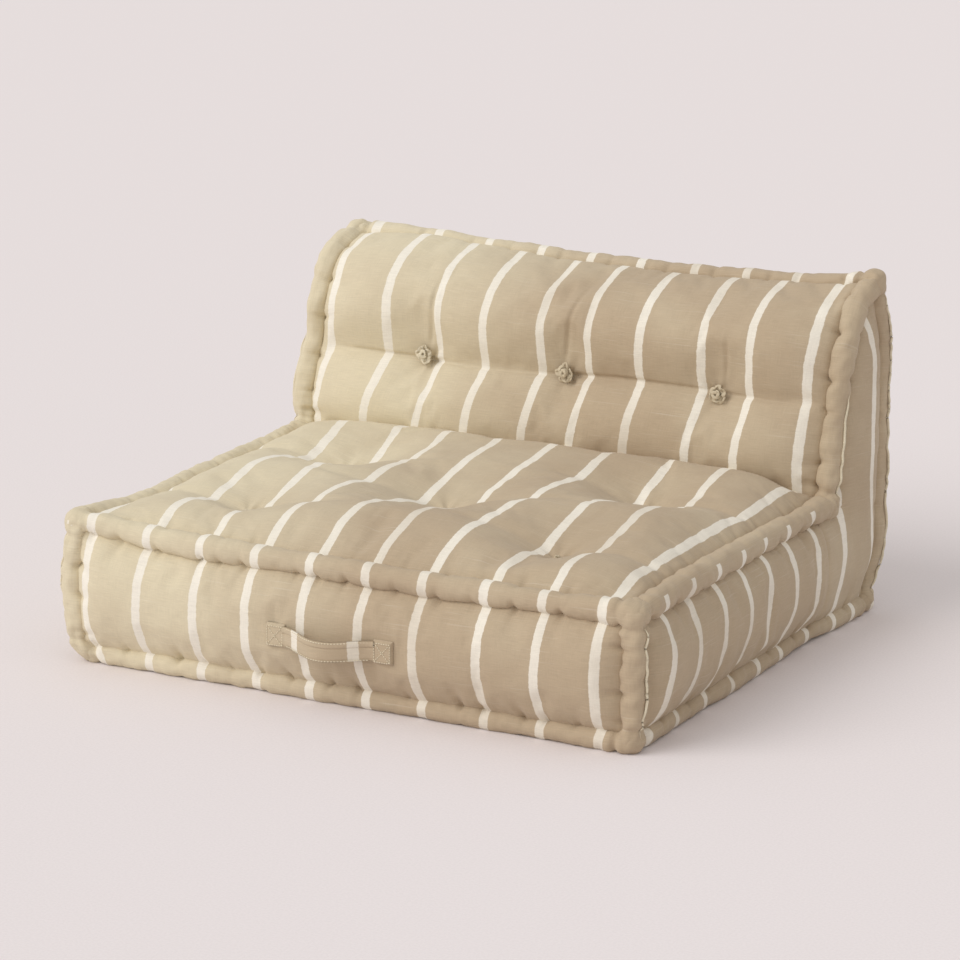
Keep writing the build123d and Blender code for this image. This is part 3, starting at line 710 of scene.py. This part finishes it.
def held_share(edge, hold, off_knots=()):
    """How firmly a cover is held, from the distances to its edge and to each of its knots."""
    held = 1 - smooth(edge, *hold)
    for distance in off_knots:
        held = np.maximum(held, 1.0 * (distance < knot_radius))
    return held


def filled_cover(name, axes, cloth, outward, held, pressure, cap):
    """A cover that its filling has pushed out, made finer, with its points and their normals."""
    piece = grid_piece(name, np.stack(axes, -1), np.stack(cloth, -1), outward)
    inflate(piece, held.ravel(), pressure, cap)
    subdivide(piece, 2)
    return piece, of_vertices(piece.data), of_vertices(piece.data, "normal")


def finish_cover(piece, co, normals, push, fill, *replaced):
    """Moves a cover's points along their normals, settles them and finishes the piece."""
    place_vertices(piece, settle(co + normals * push[:, None]))
    finish_piece(piece, "striped_cloth", replaced)


def tucked_in(edge):
    """How far a cover dips under the roll beside it."""
    return 0.012 * (1 - smooth(edge, 0.004, 0.020))


def wrinkles(co, seed, depth, broad, fine):
    """Broad and fine waves in a cover."""
    return depth * ripple(co, broad, seed) + 0.0004 * ripple(co, fine, seed + 1)


def radial_folds(x, y, knots, reach, folds, seed, depth=0.0022):
    """Folds that run out from the knots that draw the cloth in."""
    total = np.zeros_like(x)
    for number, (knot_x, knot_y) in enumerate(knots):
        dx, dy = x - knot_x, y - knot_y
        r, angle = np.hypot(dx, dy), np.arctan2(dy, dx)
        rng = np.random.default_rng(seed + number)
        wave = np.cos(folds * angle + rng.uniform(0, 6))
        wave += 0.6 * np.cos((folds - 2) * angle + rng.uniform(0, 6))
        total += depth * wave * np.exp(-r / reach) * rise(r, 0.012)
    return total


# Seat

tuft_places = ("middle", "front_left", "front_right", "rear_left", "rear_right")
seat_crown, tuft_depth = 0.047, 0.036
tuft_moves = ((-0.015, -0.012), (-0.016, 0.026), (-0.002, 0.022), (-0.018, -0.016), (-0.008, -0.008))
seat_knots = [middle("seat_tuft_" + place).xy + Vector(move) for place, move in zip(tuft_places, tuft_moves)]


def seat_heights(x, y):
    """The seat's crown, with a hollow at each tuft and a trough along each row of tufts."""
    from_side, from_front = side_x - np.abs(x), y - front_y
    crowned = rise(from_side - overlap, 0.16, 2.4) * rise(from_front - overlap, 0.15, 2.4)
    crowned *= 0.15 + 0.85 * rise(foot_y + overlap - y, 0.11, 2.2)
    level = seat_z + 0.010 + seat_crown * crowned - tucked_in(np.minimum(from_side, from_front))
    for tuft_x, tuft_y in seat_knots:
        r = np.hypot(x - tuft_x, (y - tuft_y) * 1.05)
        level -= tuft_depth * (0.34 * np.exp(-(r / 0.034) ** 1.25) + 0.62 * bell(r, 0.100))
        crease = y - tuft_y - 0.01 * np.sin(9 * x)
        trough = 0.007 * bell(y - tuft_y, 0.042) + 0.006 * bell(crease, 0.013)
        level -= trough * bell(x - tuft_x, 0.17)
    return level


def make_seat():
    x, y = grid(span(-side_x, side_x), span(front_y, foot_y + seat_tuck))
    edge = nearest_edge(side_x - np.abs(x), y - front_y, foot_y + seat_tuck - y)
    skewed = x + np.interp(x, skew_places, seat_skew) * smooth(y, 0.06, 0.25)
    piece, co, normals = filled_cover(
        "seat_cover", (x, y, seat_heights(x, y)), (stripe_coordinate(skewed, seat_stripes), y), (0, 0, 1),
        held_share(edge, wide_hold, from_knots(x, y, seat_knots)), pressure=1.6, cap=0.012,
    )
    x, y = co[:, 0], co[:, 1]
    push = wrinkles(co, 51, 0.0009, 0.07, 0.022)
    push -= drawn_in(x + side_x, y - front_y, "front_top_roll")
    push -= drawn_in(y - front_y, x + side_x, "left_seat_roll")
    push -= drawn_in(y - front_y, side_x - x, "right_seat_roll")
    push += radial_folds(x, y, seat_knots, 0.045, 7, 60)
    finish_cover(piece, co, normals, push, 0.7, "top_panel", "seat_filling")


make_seat()


# Front of the back

back_knots = [(middle("back_rosette_" + name).x, button_s) for name in ("left", "middle", "right")]
pinch = 0.014  # how far the back stands off its edge in the row of rosettes
lower_lobe, upper_lobe = 0.044, 0.038
back_creases = ((-0.272, 0.10, 0.14), (-0.012, 0.16, 0.17), (0.29, 0.05, 0.10))  # place, lean, length


def back_swell(x, s):
    """How far the back's front stands off its edge: a low lobe and one that rolls over the top."""
    low = np.clip((s + overlap) / (button_s + overlap), 0, 1)
    high = np.clip((s - button_s) / (path_length - button_s), 0, 1)
    lobes = np.where(
        s < button_s,
        pinch * low + lower_lobe * np.sin(math.pi * low) ** 0.75,
        pinch * (1 - 0.3 * high) + upper_lobe * np.sin(math.pi * high) ** 0.70 * (1 - 0.15 * high),
    )
    lobes *= 1 - (0.30 + 0.26 * smooth(x, -0.30, -0.05)) * smooth(high, 0.28, 0.92)
    from_side = side_x - np.abs(x)
    swell = 0.006 + lobes * rise(from_side - overlap, 0.15, 2.4)
    swell -= tucked_in(np.minimum(from_side, path_length - s))
    for r in from_knots(x, s, back_knots):
        swell -= 0.009 * np.exp(-(r / 0.030) ** 1.3) + 0.006 * bell(r, 0.085)
    return swell


def back_points(x, s):
    """X, Y and Z of the back's front."""
    places, normals = back_path(s)
    off_edge = places + normals * back_swell(x, s)[..., None]
    return x, off_edge[..., 0], off_edge[..., 1]


def along_back(co):
    """The length along the back's edge beside each point."""
    y, z = co[:, 1], co[:, 2]
    lean = (np.stack([y, z], -1) - foot) @ lean_way
    angle = np.arctan2(z - arc_centre[1], y - arc_centre[0])
    return np.where(lean < lean_length, lean, lean_length + (start_angle - angle) * arc_radius)


def make_back():
    x, s = grid(span(-side_x, side_x), span(-back_tuck, path_length))
    edge = nearest_edge(side_x - np.abs(x), path_length - s, s + back_tuck)
    held = held_share(edge, wide_hold, from_knots(x, s, back_knots))
    held = np.maximum(held, 0.35 * bell(s - button_s, 0.008))
    skewed = x + np.interp(x, skew_places, back_skew) * (1 - smooth(s, 0.03, button_s))
    cloth = stripe_coordinate(skewed, back_stripes), s + foot_y
    piece, co, normals = filled_cover(
        "back_cover", back_points(x, s), cloth, (0, -1, 0.5), held, pressure=1.4, cap=0.010,
    )
    x, s = co[:, 0], along_back(co)
    push = wrinkles(co, 71, 0.0010, 0.08, 0.024)
    push -= drawn_in(s, x + side_x, "left_back_roll")
    push -= drawn_in(s, side_x - x, "right_back_roll")
    push -= drawn_in(x + side_x, path_length - s, "rear_top_roll", 0.0035)
    fold = (0.45 + 0.55 * np.sin(7 * x + 1) ** 2) * smooth(side_x - np.abs(x), 0.03, 0.14)
    push -= 0.0052 * bell(s - button_s - 0.004 * np.sin(11 * x), 0.0032) * fold
    push += radial_folds(x, s, back_knots, 0.030, 6, 80)
    up = s - button_s
    for place, lean, length in back_creases:
        reach = smooth(up, 0.01, 0.04) * (1 - smooth(up, length * 0.6, length))
        push -= 0.0040 * bell(x - place - lean * up, 0.0048) * reach
    finish_cover(piece, co, normals, push, 0.75, "back_filling")


make_back()


# Front and rear

handle_shift = -0.012  # the strap is sewn on a little to the left
front_bulge, rear_bulge = 0.037, 0.040
rear_knots = [middle("rear_rosette_" + name).xz for name in ("left", "middle", "right")]


def border_pull(co, top_z, end, depth):
    """How far the stitches of the four rolls round the front or rear panel draw it in."""
    x, z = co[:, 0], co[:, 2]
    pull = drawn_in(x + side_x, top_z - z, end + "_top_roll", depth)
    pull += drawn_in(x + side_x, z - base_z, end + "_base_roll", depth)
    pull += drawn_in(z - base_z, x + side_x, end + "_left_roll", depth)
    return pull + drawn_in(z - base_z, side_x - x, end + "_right_roll", depth)


def flat_behind_patches(co):
    """The front cover lies flat where the ends of the strap are sewn on."""
    patch, patch_back = middle("handle_end_left"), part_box("handle_end_left")[1].y
    off_x = np.abs(np.abs(co[:, 0] - handle_shift) + patch.x)
    off_z = np.abs(co[:, 2] - patch.z)
    under = smooth(0.048 - off_x, 0, 0.024) * smooth(0.040 - off_z, 0, 0.018)
    co[:, 1] += (np.maximum(co[:, 1], patch_back + 0.0004) - co[:, 1]) * under
    return co


def make_front():
    x, z = grid(span(-side_x, side_x), span(base_z, seat_z, panel_step))
    from_side = side_x - np.abs(x)
    bulge = front_bulge * dome(z - base_z - 0.013, 0.084) * dome(seat_z - 0.0165 - z, 0.084)
    bulge *= rise(from_side - 0.008, 0.055, 2.2)
    piece, co, normals = filled_cover(
        "front_cover", (x, front_y - 0.004 - bulge, z), (stripe_coordinate(x, front_stripes), z), (0, -1, 0),
        held_share(nearest_edge(from_side, z - base_z, seat_z - z), narrow_hold), pressure=1.0, cap=0.004,
    )
    push = wrinkles(co, 91, 0.0009, 0.08, 0.024) - border_pull(co, seat_z, "front", 0.0060)
    finish_cover(piece, co, normals, push, 0.8, "front_panel")
    place_vertices(piece, flat_behind_patches(of_vertices(piece.data)))


def make_rear():
    x, z = grid(span(-side_x, side_x), span(base_z, head_z))
    from_side = side_x - np.abs(x)
    bulge = rear_bulge * dome(z - base_z - 0.011, 0.13) * dome(head_z - 0.011 - z, 0.15)
    bulge *= rise(from_side - 0.010, 0.13, 2.6)
    bulge -= 0.006 * bell(z - button_z, 0.014)
    off_knots = from_knots(x, z, rear_knots)
    for r in off_knots:
        bulge -= 0.018 * np.exp(-(r / 0.038) ** 1.25) + 0.008 * bell(r, 0.11)
    edge = nearest_edge(from_side, z - base_z, head_z - z)
    piece, co, normals = filled_cover(
        "rear_cover", (x, rear_y + 0.004 + bulge, z), (stripe_coordinate(x, front_stripes), z), (0, 1, 0),
        held_share(edge, narrow_hold, off_knots), pressure=1.2, cap=0.008,
    )
    push = wrinkles(co, 95, 0.0010, 0.09, 0.024) - border_pull(co, head_z, "rear", 0.0050)
    push += radial_folds(co[:, 0], co[:, 2], rear_knots, 0.035, 6, 100, 0.0020)
    finish_cover(piece, co, normals, push, 0.8, "rear_panel")


make_front()
make_rear()


# Sides: one swell under both panels, each with its own piece of cloth

side_bulge = 0.032
skew_at, side_skew = (0.28, 0.39), (0.030, -0.030)  # how far a stripe has run forward at its foot
top_edge = np.concatenate([
    np.stack([np.linspace(front_y, foot_y, 50), np.full(50, seat_z)], -1),
    back_path(np.linspace(0, path_length, 60))[0],
])


def off_top_edge(y, z):
    """The distance from points of a side panel to the seat roll or back roll along its edge."""
    flat = np.stack([y.ravel(), z.ravel()], -1)
    best = np.full(len(flat), 1e9)
    for a, b in zip(top_edge[:-1], top_edge[1:]):
        along = b - a
        length = along @ along
        if length < 1e-12:
            continue  # both lines hold the point where they meet
        t = np.clip((flat - a) @ along / length, 0, 1)
        best = np.minimum(best, np.linalg.norm(flat - a - t[:, None] * along, axis=1))
    return best.reshape(y.shape)


def side_swell(y, z):
    """How far a side stands out, with a dent along the seam between its two panels."""
    swell = side_bulge * dome(z - base_z - 0.013, 0.084) * dome(off_top_edge(y, z) - 0.0155, 0.084)
    swell *= rise(y - front_y - 0.009, 0.060, 2.2) * rise(rear_y - 0.010 - y, 0.09, 2.4)
    swell *= 1 - 0.18 * smooth(y, 0.20, 0.34)
    return 0.004 + swell - 0.0035 * bell(y - divider_y, 0.006) * (z < seat_z)


def side_piece(side, half, y, z, start_y, end_y, seed):
    """The seat or back half of a side's cover."""
    sx = -1 if side == "left" else 1
    forward = np.interp(y, skew_at, side_skew) * np.clip((seat_z - z) / (seat_z - base_z), 0, 1)
    edge = nearest_edge(z - base_z, off_top_edge(y, z), y - start_y, end_y - y)
    piece, co, normals = filled_cover(
        f"{side}_{half}_side_cover", (sx * (side_x + side_swell(y, z)), y, z),
        (stripe_coordinate(y + forward, side_stripes), z), (sx, 0, 0),
        held_share(edge, narrow_hold), pressure=1.0, cap=0.005,
    )
    y, z = co[:, 1], co[:, 2]
    push = wrinkles(co, seed, 0.0009, 0.07, 0.022)
    push -= drawn_in(y - front_y, z - base_z, side + "_base_roll", 0.0060)
    push -= drawn_in(y - front_y, np.abs(seat_z - z), side + "_seat_roll", 0.0060) * (y < foot_y)
    push -= drawn_in(z - base_z, y - front_y, f"front_{side}_roll", 0.0060)
    push -= drawn_in(z - base_z, rear_y - y, f"rear_{side}_roll")
    push -= drawn_in(along_back(co), off_top_edge(y, z), side + "_back_roll") * (z > seat_z)
    push *= np.where(z < seat_z, smooth(np.abs(y - divider_y), 0.0, 0.014), 1)
    finish_cover(piece, co, normals, push, 0.8, f"{side}_{half}_side_panel")


def back_half_grid():
    """A grid over the side of the back, whose front edge follows the back's edge."""
    rows, share = span(base_z, head_z, 0.0074), np.linspace(0, 1, 30)[:, None]
    path_y, path_z = back_path(np.linspace(0, path_length, 400))[0].T
    start = np.where(
        rows < seat_z,
        divider_y + (foot_y - divider_y) * smooth(rows, seat_z - 0.014, seat_z),
        np.interp(rows, path_z, path_y),
    )
    return start + (rear_y - start) * share, np.tile(rows, (len(share), 1))


for side, seed in (("left", 120), ("right", 130)):
    y, z = grid(span(front_y, divider_y), span(base_z, seat_z, panel_step))
    side_piece(side, "seat", y, z, front_y, divider_y, seed)
    side_piece(side, "back", *back_half_grid(), divider_y, rear_y, seed + 5)


# Base

x, y = grid(span(-side_x, side_x, base_step), span(front_y, rear_y, base_step))
inset = nearest_edge(side_x - np.abs(x), y - front_y, rear_y - y)
points = np.stack([x, y, base_z * (1 - smooth(inset, 0.0, 0.030)) + 0.0008], -1)
base_cover = grid_piece("base_cover", points, np.stack([x, y], -1), (0, 0, -1))
finish_piece(base_cover, "base_cloth", ("base_panel",))


# Rosettes and tufts

def tube(points, radius, sides=10, flatten=1.0, up=(0, 0, 1)):
    """A closed-ended tube along points: its vertices and faces."""
    points = np.array(points, float)
    way = np.gradient(points, axis=0)
    way /= np.linalg.norm(way, axis=1)[:, None]
    up = np.tile(np.array(up, float), (len(points), 1))
    a = np.cross(way, up)
    weak = np.linalg.norm(a, axis=1) < 1e-3
    a[weak] = np.cross(way[weak], np.array([1.0, 0.3, 0.2]))
    a /= np.linalg.norm(a, axis=1)[:, None]
    b = np.cross(way, a)
    radius = np.broadcast_to(radius, (len(points),))
    angle = np.linspace(0, 2 * math.pi, sides, endpoint=False)
    ring = np.cos(angle)[None, :, None] * a[:, None] + flatten * np.sin(angle)[None, :, None] * b[:, None]
    vertices = (points[:, None] + radius[:, None, None] * ring).reshape(-1, 3)
    row, j = np.mgrid[: len(points) - 1, :sides]
    first, second = row * sides + j, row * sides + (j + 1) % sides
    faces = np.stack([first, second, second + sides, first + sides], -1).reshape(-1, 4).tolist()
    ends = list(range(sides))[::-1], list(range(len(vertices) - sides, len(vertices)))
    return vertices, [*faces, *ends]


def joined(name, parts, levels=0):
    """One object of several vertex and face lists, with a simple cloth UV."""
    vertices, faces, at = [], [], 0
    for part_vertices, part_faces in parts:
        vertices.append(np.array(part_vertices, float))
        faces += [tuple(i + at for i in face) for face in part_faces]
        at += len(part_vertices)
    mesh = bpy.data.meshes.new(name)
    flat = settle(np.concatenate(vertices))
    mesh.from_pydata(flat.tolist(), [], faces)
    layer = mesh.uv_layers.new(name="cloth")
    index = np.zeros(len(mesh.loops), np.int32)
    mesh.loops.foreach_get("vertex_index", index)
    uv = np.stack([flat[index, 0] - flat[index, 1], flat[index, 2] + flat[index, 1] * 0.5], -1)
    layer.data.foreach_set("uv", uv.astype(np.float32).ravel())
    piece = add_object(name, mesh)
    shade_smooth(mesh)
    if levels:
        subdivide(piece, levels)
    return piece


def petal(number, count, axes, size, rng):
    """A loop of cloth from the knot outward and back, as a tube's line, thickness and tilt."""
    out, side, up = axes
    angle = 2 * math.pi * (number + rng.uniform(-0.28, 0.28)) / count
    way = math.cos(angle) * side + math.sin(angle) * up
    turn = -math.sin(angle) * side + math.cos(angle) * up
    reach = size * rng.uniform(0.62, 0.98)
    lift = size * rng.uniform(0.40, 0.72)
    spread = size * rng.uniform(0.22, 0.42)
    t = np.linspace(0, 1, 15)[:, None]
    around = 2 * math.pi * t
    loop = way * reach * 0.5 * (1 - np.cos(around)) + turn * spread * np.sin(around)
    loop = loop + out * lift * np.sin(math.pi * t) * (0.75 + 0.25 * np.sin(3 * around + number))
    thick = size * 0.21 * (0.8 + 0.35 * np.sin(around[:, 0] * 2 + number))
    return loop, thick, out + 0.9 * way * rng.uniform(-1, 1) + 0.6 * turn * rng.uniform(-1, 1)


def curl(number, axes, size, rng):
    """A strip of cloth that winds inward over the knot, in the same form."""
    out, side, up = axes
    t = np.linspace(0, 1, 12)[:, None]
    turn = rng.uniform(0, 2 * math.pi) + 4.0 * t
    wound = size * 0.34 * (1 - 0.5 * t) * (side * np.cos(turn) + up * np.sin(turn))
    lift = size * (0.35 + 0.28 * np.sin(math.pi * t) + 0.05 * number)
    return wound + out * lift, size * 0.17, out + side * rng.uniform(-0.6, 0.6)


def rosette(name, centre, out, size, seed, node):
    """A gathered rosette: loops of cloth that curl round a knot and over each other."""
    rng = np.random.default_rng(seed)
    out = np.array(out, float)
    out /= np.linalg.norm(out)
    side = np.cross(out, [0, 0, 1.0]) if abs(out[2]) < 0.9 else np.array([1.0, 0, 0])
    side /= np.linalg.norm(side)
    axes, petals, curls = (out, side, np.cross(side, out)), 7, 5
    parts = []
    for number in range(petals):
        loop, thick, tilt = petal(number, petals, axes, size, rng)
        parts.append(tube(centre + loop, thick, 8, 0.26, tilt))
    for number in range(curls):
        wound, thick, tilt = curl(number, axes, size, rng)
        parts.append(tube(centre + wound, thick, 8, 0.40, tilt))
    finish_piece(joined(name, parts, 1), "rosette_cloth", (node,))


def knot_place(node, y):
    """The middle of a rosette's node, at another depth."""
    place = middle(node)
    return np.array([place.x, y, place.z])


rosette_moves = {"left": (-0.006, 0.002, 0.011), "middle": (-0.006, 0.001, 0.006), "right": (0.005, 0, 0)}
for number, (side, move) in enumerate(rosette_moves.items()):
    front, rear = "back_rosette_" + side, "rear_rosette_" + side
    centre = knot_place(front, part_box(front)[1].y - 0.004) + move
    rosette("back_knot_" + side, centre, (0, -1, 0.17), 0.0180, 140 + number, front)
    centre = knot_place(rear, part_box(rear)[0].y + 0.004)
    rosette("rear_knot_" + side, centre, (0, 1, 0), 0.0185, 150 + number, rear)
for number, place in enumerate(tuft_places):
    node = "seat_tuft_" + place
    centre = np.array([*seat_knots[number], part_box(node)[0].z - 0.001])
    rosette("seat_knot_" + place, centre, (0, 0, 1), 0.0095, 160 + number, node)


# Ends of the handle

def stitched(points, pitch=0.0042, share=0.74, radius=0.0008):
    """Short stitches along a line of points."""
    points = np.array(points, float)
    steps = np.linalg.norm(np.diff(points, axis=0), axis=1)
    at = np.concatenate([[0], np.cumsum(steps)])
    parts = []
    for start in np.arange(0, at[-1] - pitch * share, pitch):
        t = start + np.array([0, 0.25, 0.75, 1]) * pitch * share
        run = np.stack([np.interp(t, at, points[:, k]) for k in range(3)], -1)
        parts.append(tube(run, np.array([0.4, 1, 1, 0.4]) * radius, 5))
    return parts


def sewn_end(side):
    """One end of the strap: a soft patch, with a box and a cross stitched through it."""
    low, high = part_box("handle_end_" + side)
    half = (high - low) / 2
    centre = (low + high) / 2 + Vector((handle_shift, 0, 0))
    tone_and_painted_shade_across, up = grid(np.linspace(-1, 1, 26), np.linspace(-1, 1, 28))
    x, z, u, v = centre.x + half.x * tone_and_painted_shade_across, centre.z + half.z * up, np.abs(tone_and_painted_shade_across), np.abs(up)
    dents = bell(u - 0.82, 0.05) * (v < 0.86) + bell(v - 0.84, 0.05) * (u < 0.86)
    dents += bell(u - v, 0.05) * (u < 0.82)
    thick = 2 * half.y * (1 - 0.85 * smooth(np.maximum(u, v), 0.86, 1.0)) - 0.0003 * dents
    points = np.pad(np.stack([x, high.y - thick, z], -1), ((1, 1), (1, 1), (0, 0)), mode="edge")
    points[[0, -1], :, 1] = high.y
    points[:, [0, -1], 1] = high.y
    cloth = np.stack([stripe_pitch / 2 + 0.3 * (points[..., 0] - centre.x + half.x), points[..., 2]], -1)
    patch = grid_piece("handle_patch_" + side, points, cloth, (0, -1, 0))
    finish_piece(patch, "striped_cloth", ("handle_end_" + side,))
    box = [(centre.x + 0.80 * half.x * a, low.y - 0.0004, centre.z + 0.82 * half.z * b)
           for a, b in ((-1, -1), (1, -1), (1, 1), (-1, 1))]
    parts = []
    for start, end in ((0, 1), (1, 2), (2, 3), (3, 0), (0, 2), (1, 3)):
        parts += stitched([box[start], box[end]])
    finish_piece(joined("handle_thread_" + side, parts), "thread", ("handle_stitching_" + side,))


sewn_end("left")
sewn_end("right")


# Strap of the handle

strap_box_low, strap_box_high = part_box("handle_strap")
strap_low, strap_high = strap_box_low.z + 0.003, strap_box_high.z - 0.002
strap_height = strap_high - strap_low
strap_back_y, strap_reach = strap_box_high.y, strap_box_high.x
strap_out = strap_box_high.y - strap_box_low.y
strap_thick = 0.0040
strap_tuck = 0.0035  # how far its ends run on under the sewn patches
strap_stripes = (-0.553, -0.453, -0.353, -0.253, -0.153, -0.053, 0.052, 0.152, 0.252)


def strap_line(x):
    """Where the strap's inner face stands in Y, and how far its edge has dropped, along X."""
    t = np.clip(np.abs(x) / strap_reach, 0, 1)
    out = (0.5 + 0.5 * np.cos(math.pi * t)) ** 0.75
    return strap_back_y - (strap_out - strap_thick) * out, 0.0045 * out


def strap_section(count=46):
    """Points round the strap's section: its depth outward, and its share of the height."""
    share = np.concatenate([np.linspace(0, 1, count), np.linspace(1, 0, count)])
    outer = np.arange(2 * count) < count
    thick = strap_thick * np.sqrt(np.clip(1 - ((share - 0.5) / 0.5) ** 8, 0.02, 1))
    fold = 0.0011 * bell(share - 0.66, 0.030) - 0.0007 * smooth(share, 0.68, 0.74)
    hem = 0.0006 * bell(share - 0.10, 0.022)
    return np.where(outer, thick - fold - hem, strap_thick - thick), share


def strap_points(sx):
    """A grid round half the strap, from its middle to under its sewn patch."""
    x = sx * np.linspace(0, strap_reach + strap_tuck, 90)[:, None]
    inner_y, drop = strap_line(x)
    depth, share = strap_section()
    y = inner_y - depth - 0.0022 * (np.abs(x) / strap_reach - 0.5) * (share - 0.5)
    at = np.stack(np.broadcast_arrays(x, y, strap_low + share * strap_height - drop), -1)
    free = smooth(strap_reach - np.abs(at[..., 0]), 0, 0.01)
    at[..., 1] += 0.0004 * ripple(at * [1, 0, 1], 0.020, 171) * free
    return np.concatenate([at, at[:, :1]], axis=1)


def strap_outward(points):
    """The way out of the strap at points on its surface."""
    inner, _ = strap_line(points[:, 0] - handle_shift)
    off_middle = points[:, 2] - (strap_low + strap_high) / 2
    return np.stack([0 * inner, points[:, 1] - inner + strap_thick / 2, off_middle], -1)


def strap_seams(sx):
    """Stitches along both hems of half the strap."""
    x = sx * np.linspace(0.0005, strap_reach - 0.002, 60)
    inner_y, drop = strap_line(x)
    parts = []
    for share in (0.055, 0.94):
        z = strap_low + share * strap_height - drop
        parts += stitched(np.stack([x + handle_shift, inner_y - strap_thick * 0.99, z], -1), 0.0050)
    return parts


def bend_with_strap(piece, slot):
    """Gives the piece its material and moves its place into its mesh."""
    piece.data.materials.append(materials[slot])
    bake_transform(piece)


for side, sx in (("left", -1), ("right", 1)):
    points = strap_points(sx)
    cloth = np.stack([stripe_coordinate(points[..., 0], strap_stripes), points[..., 2]], -1)
    points[..., 0] += handle_shift
    half = grid_piece("strap_" + side, points, cloth, strap_outward)
    bend_with_strap(half, "striped_cloth")
    if side == "right":
        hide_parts("handle_strap")
    bend_with_strap(joined("strap_thread_" + side, strap_seams(sx)), "thread")


# Light bindings beside the side panels

for group, names, share in (
    ("upright_seams", ("front_left_roll", "front_right_roll", "rear_left_roll", "rear_right_roll"), 1),
    ("back_seams", ("left_back_roll", "right_back_roll"), 0.47),
):
    parts = []
    for name in names:
        run = binding_lines[name][: int(len(binding_lines[name]) * share)]
        to_end = np.minimum(np.arange(len(run)), np.arange(len(run))[::-1])
        thick = 0.0022 * smooth(to_end, -1, 12)
        parts.append(tube(run + 0.0010 * ripple(run, 0.03, 180)[:, None], thick, 6))
    finish_piece(joined(group, parts), "thread")


# CAD nodes that stay, hidden in the filling

for name, node in nodes.items():
    if node.hide_render:
        continue
    kind = "felt" if "washer" in name else "tufting_cord" if "cord" in name else "wadding"
    node.data.materials.clear()
    node.data.materials.append(materials[kind])


# Floor, light and background

def plain_floor():
    mesh = bpy.data.meshes.new("floor")
    far = 60.0
    mesh.from_pydata([(-far, -far, 0), (far, -far, 0), (far, far, 0), (-far, far, 0)], [], [(0, 1, 2, 3)])
    floor = add_object("floor", mesh)
    material, t, shader = node_material("floor")
    place = t.node("ShaderNodeTexCoord").outputs["Object"]
    grain = t.noise(place, 260.0, 2.0, 0.5)
    colour = t.mix(t.range(grain, 0.3, 0.7), srgb(233, 226, 227), srgb(237, 230, 231))
    t.fill(shader, {"Base Color": colour, "Roughness": 1.0, "Specular IOR Level": 0.0})
    mesh.materials.append(material)


def soft_room(colour, strength):
    world = bpy.data.worlds.new("soft_room")
    bpy.context.scene.world = world
    world.use_nodes = True
    background = world.node_tree.nodes["Background"]
    background.inputs["Color"].default_value = colour
    background.inputs["Strength"].default_value = strength


def sun(name, azimuth_from, elevation_from, strength, angle, colour):
    """A broad soft light from far away; azimuth 0 stands in front, and 90 at the right."""
    lamp = add_object(name, bpy.data.lights.new(name, "SUN"))
    lamp.data.energy = strength
    lamp.data.angle = math.radians(angle)
    lamp.data.color = colour
    lamp.rotation_euler = (math.radians(90 - elevation_from), 0, math.radians(azimuth_from))


plain_floor()
soft_room((1.0, 0.985, 0.965, 1), 0.62)
sun("key", -36, 36, 1.44, 42, (1.0, 0.982, 0.960))
sun("fill", 60, 35, 0.05, 60, (1.0, 0.94, 0.86))
sun("overhead", 0, 88, 0.16, 80, (1.0, 0.98, 1.0))
bpy.context.scene.view_settings.view_transform = "Standard"
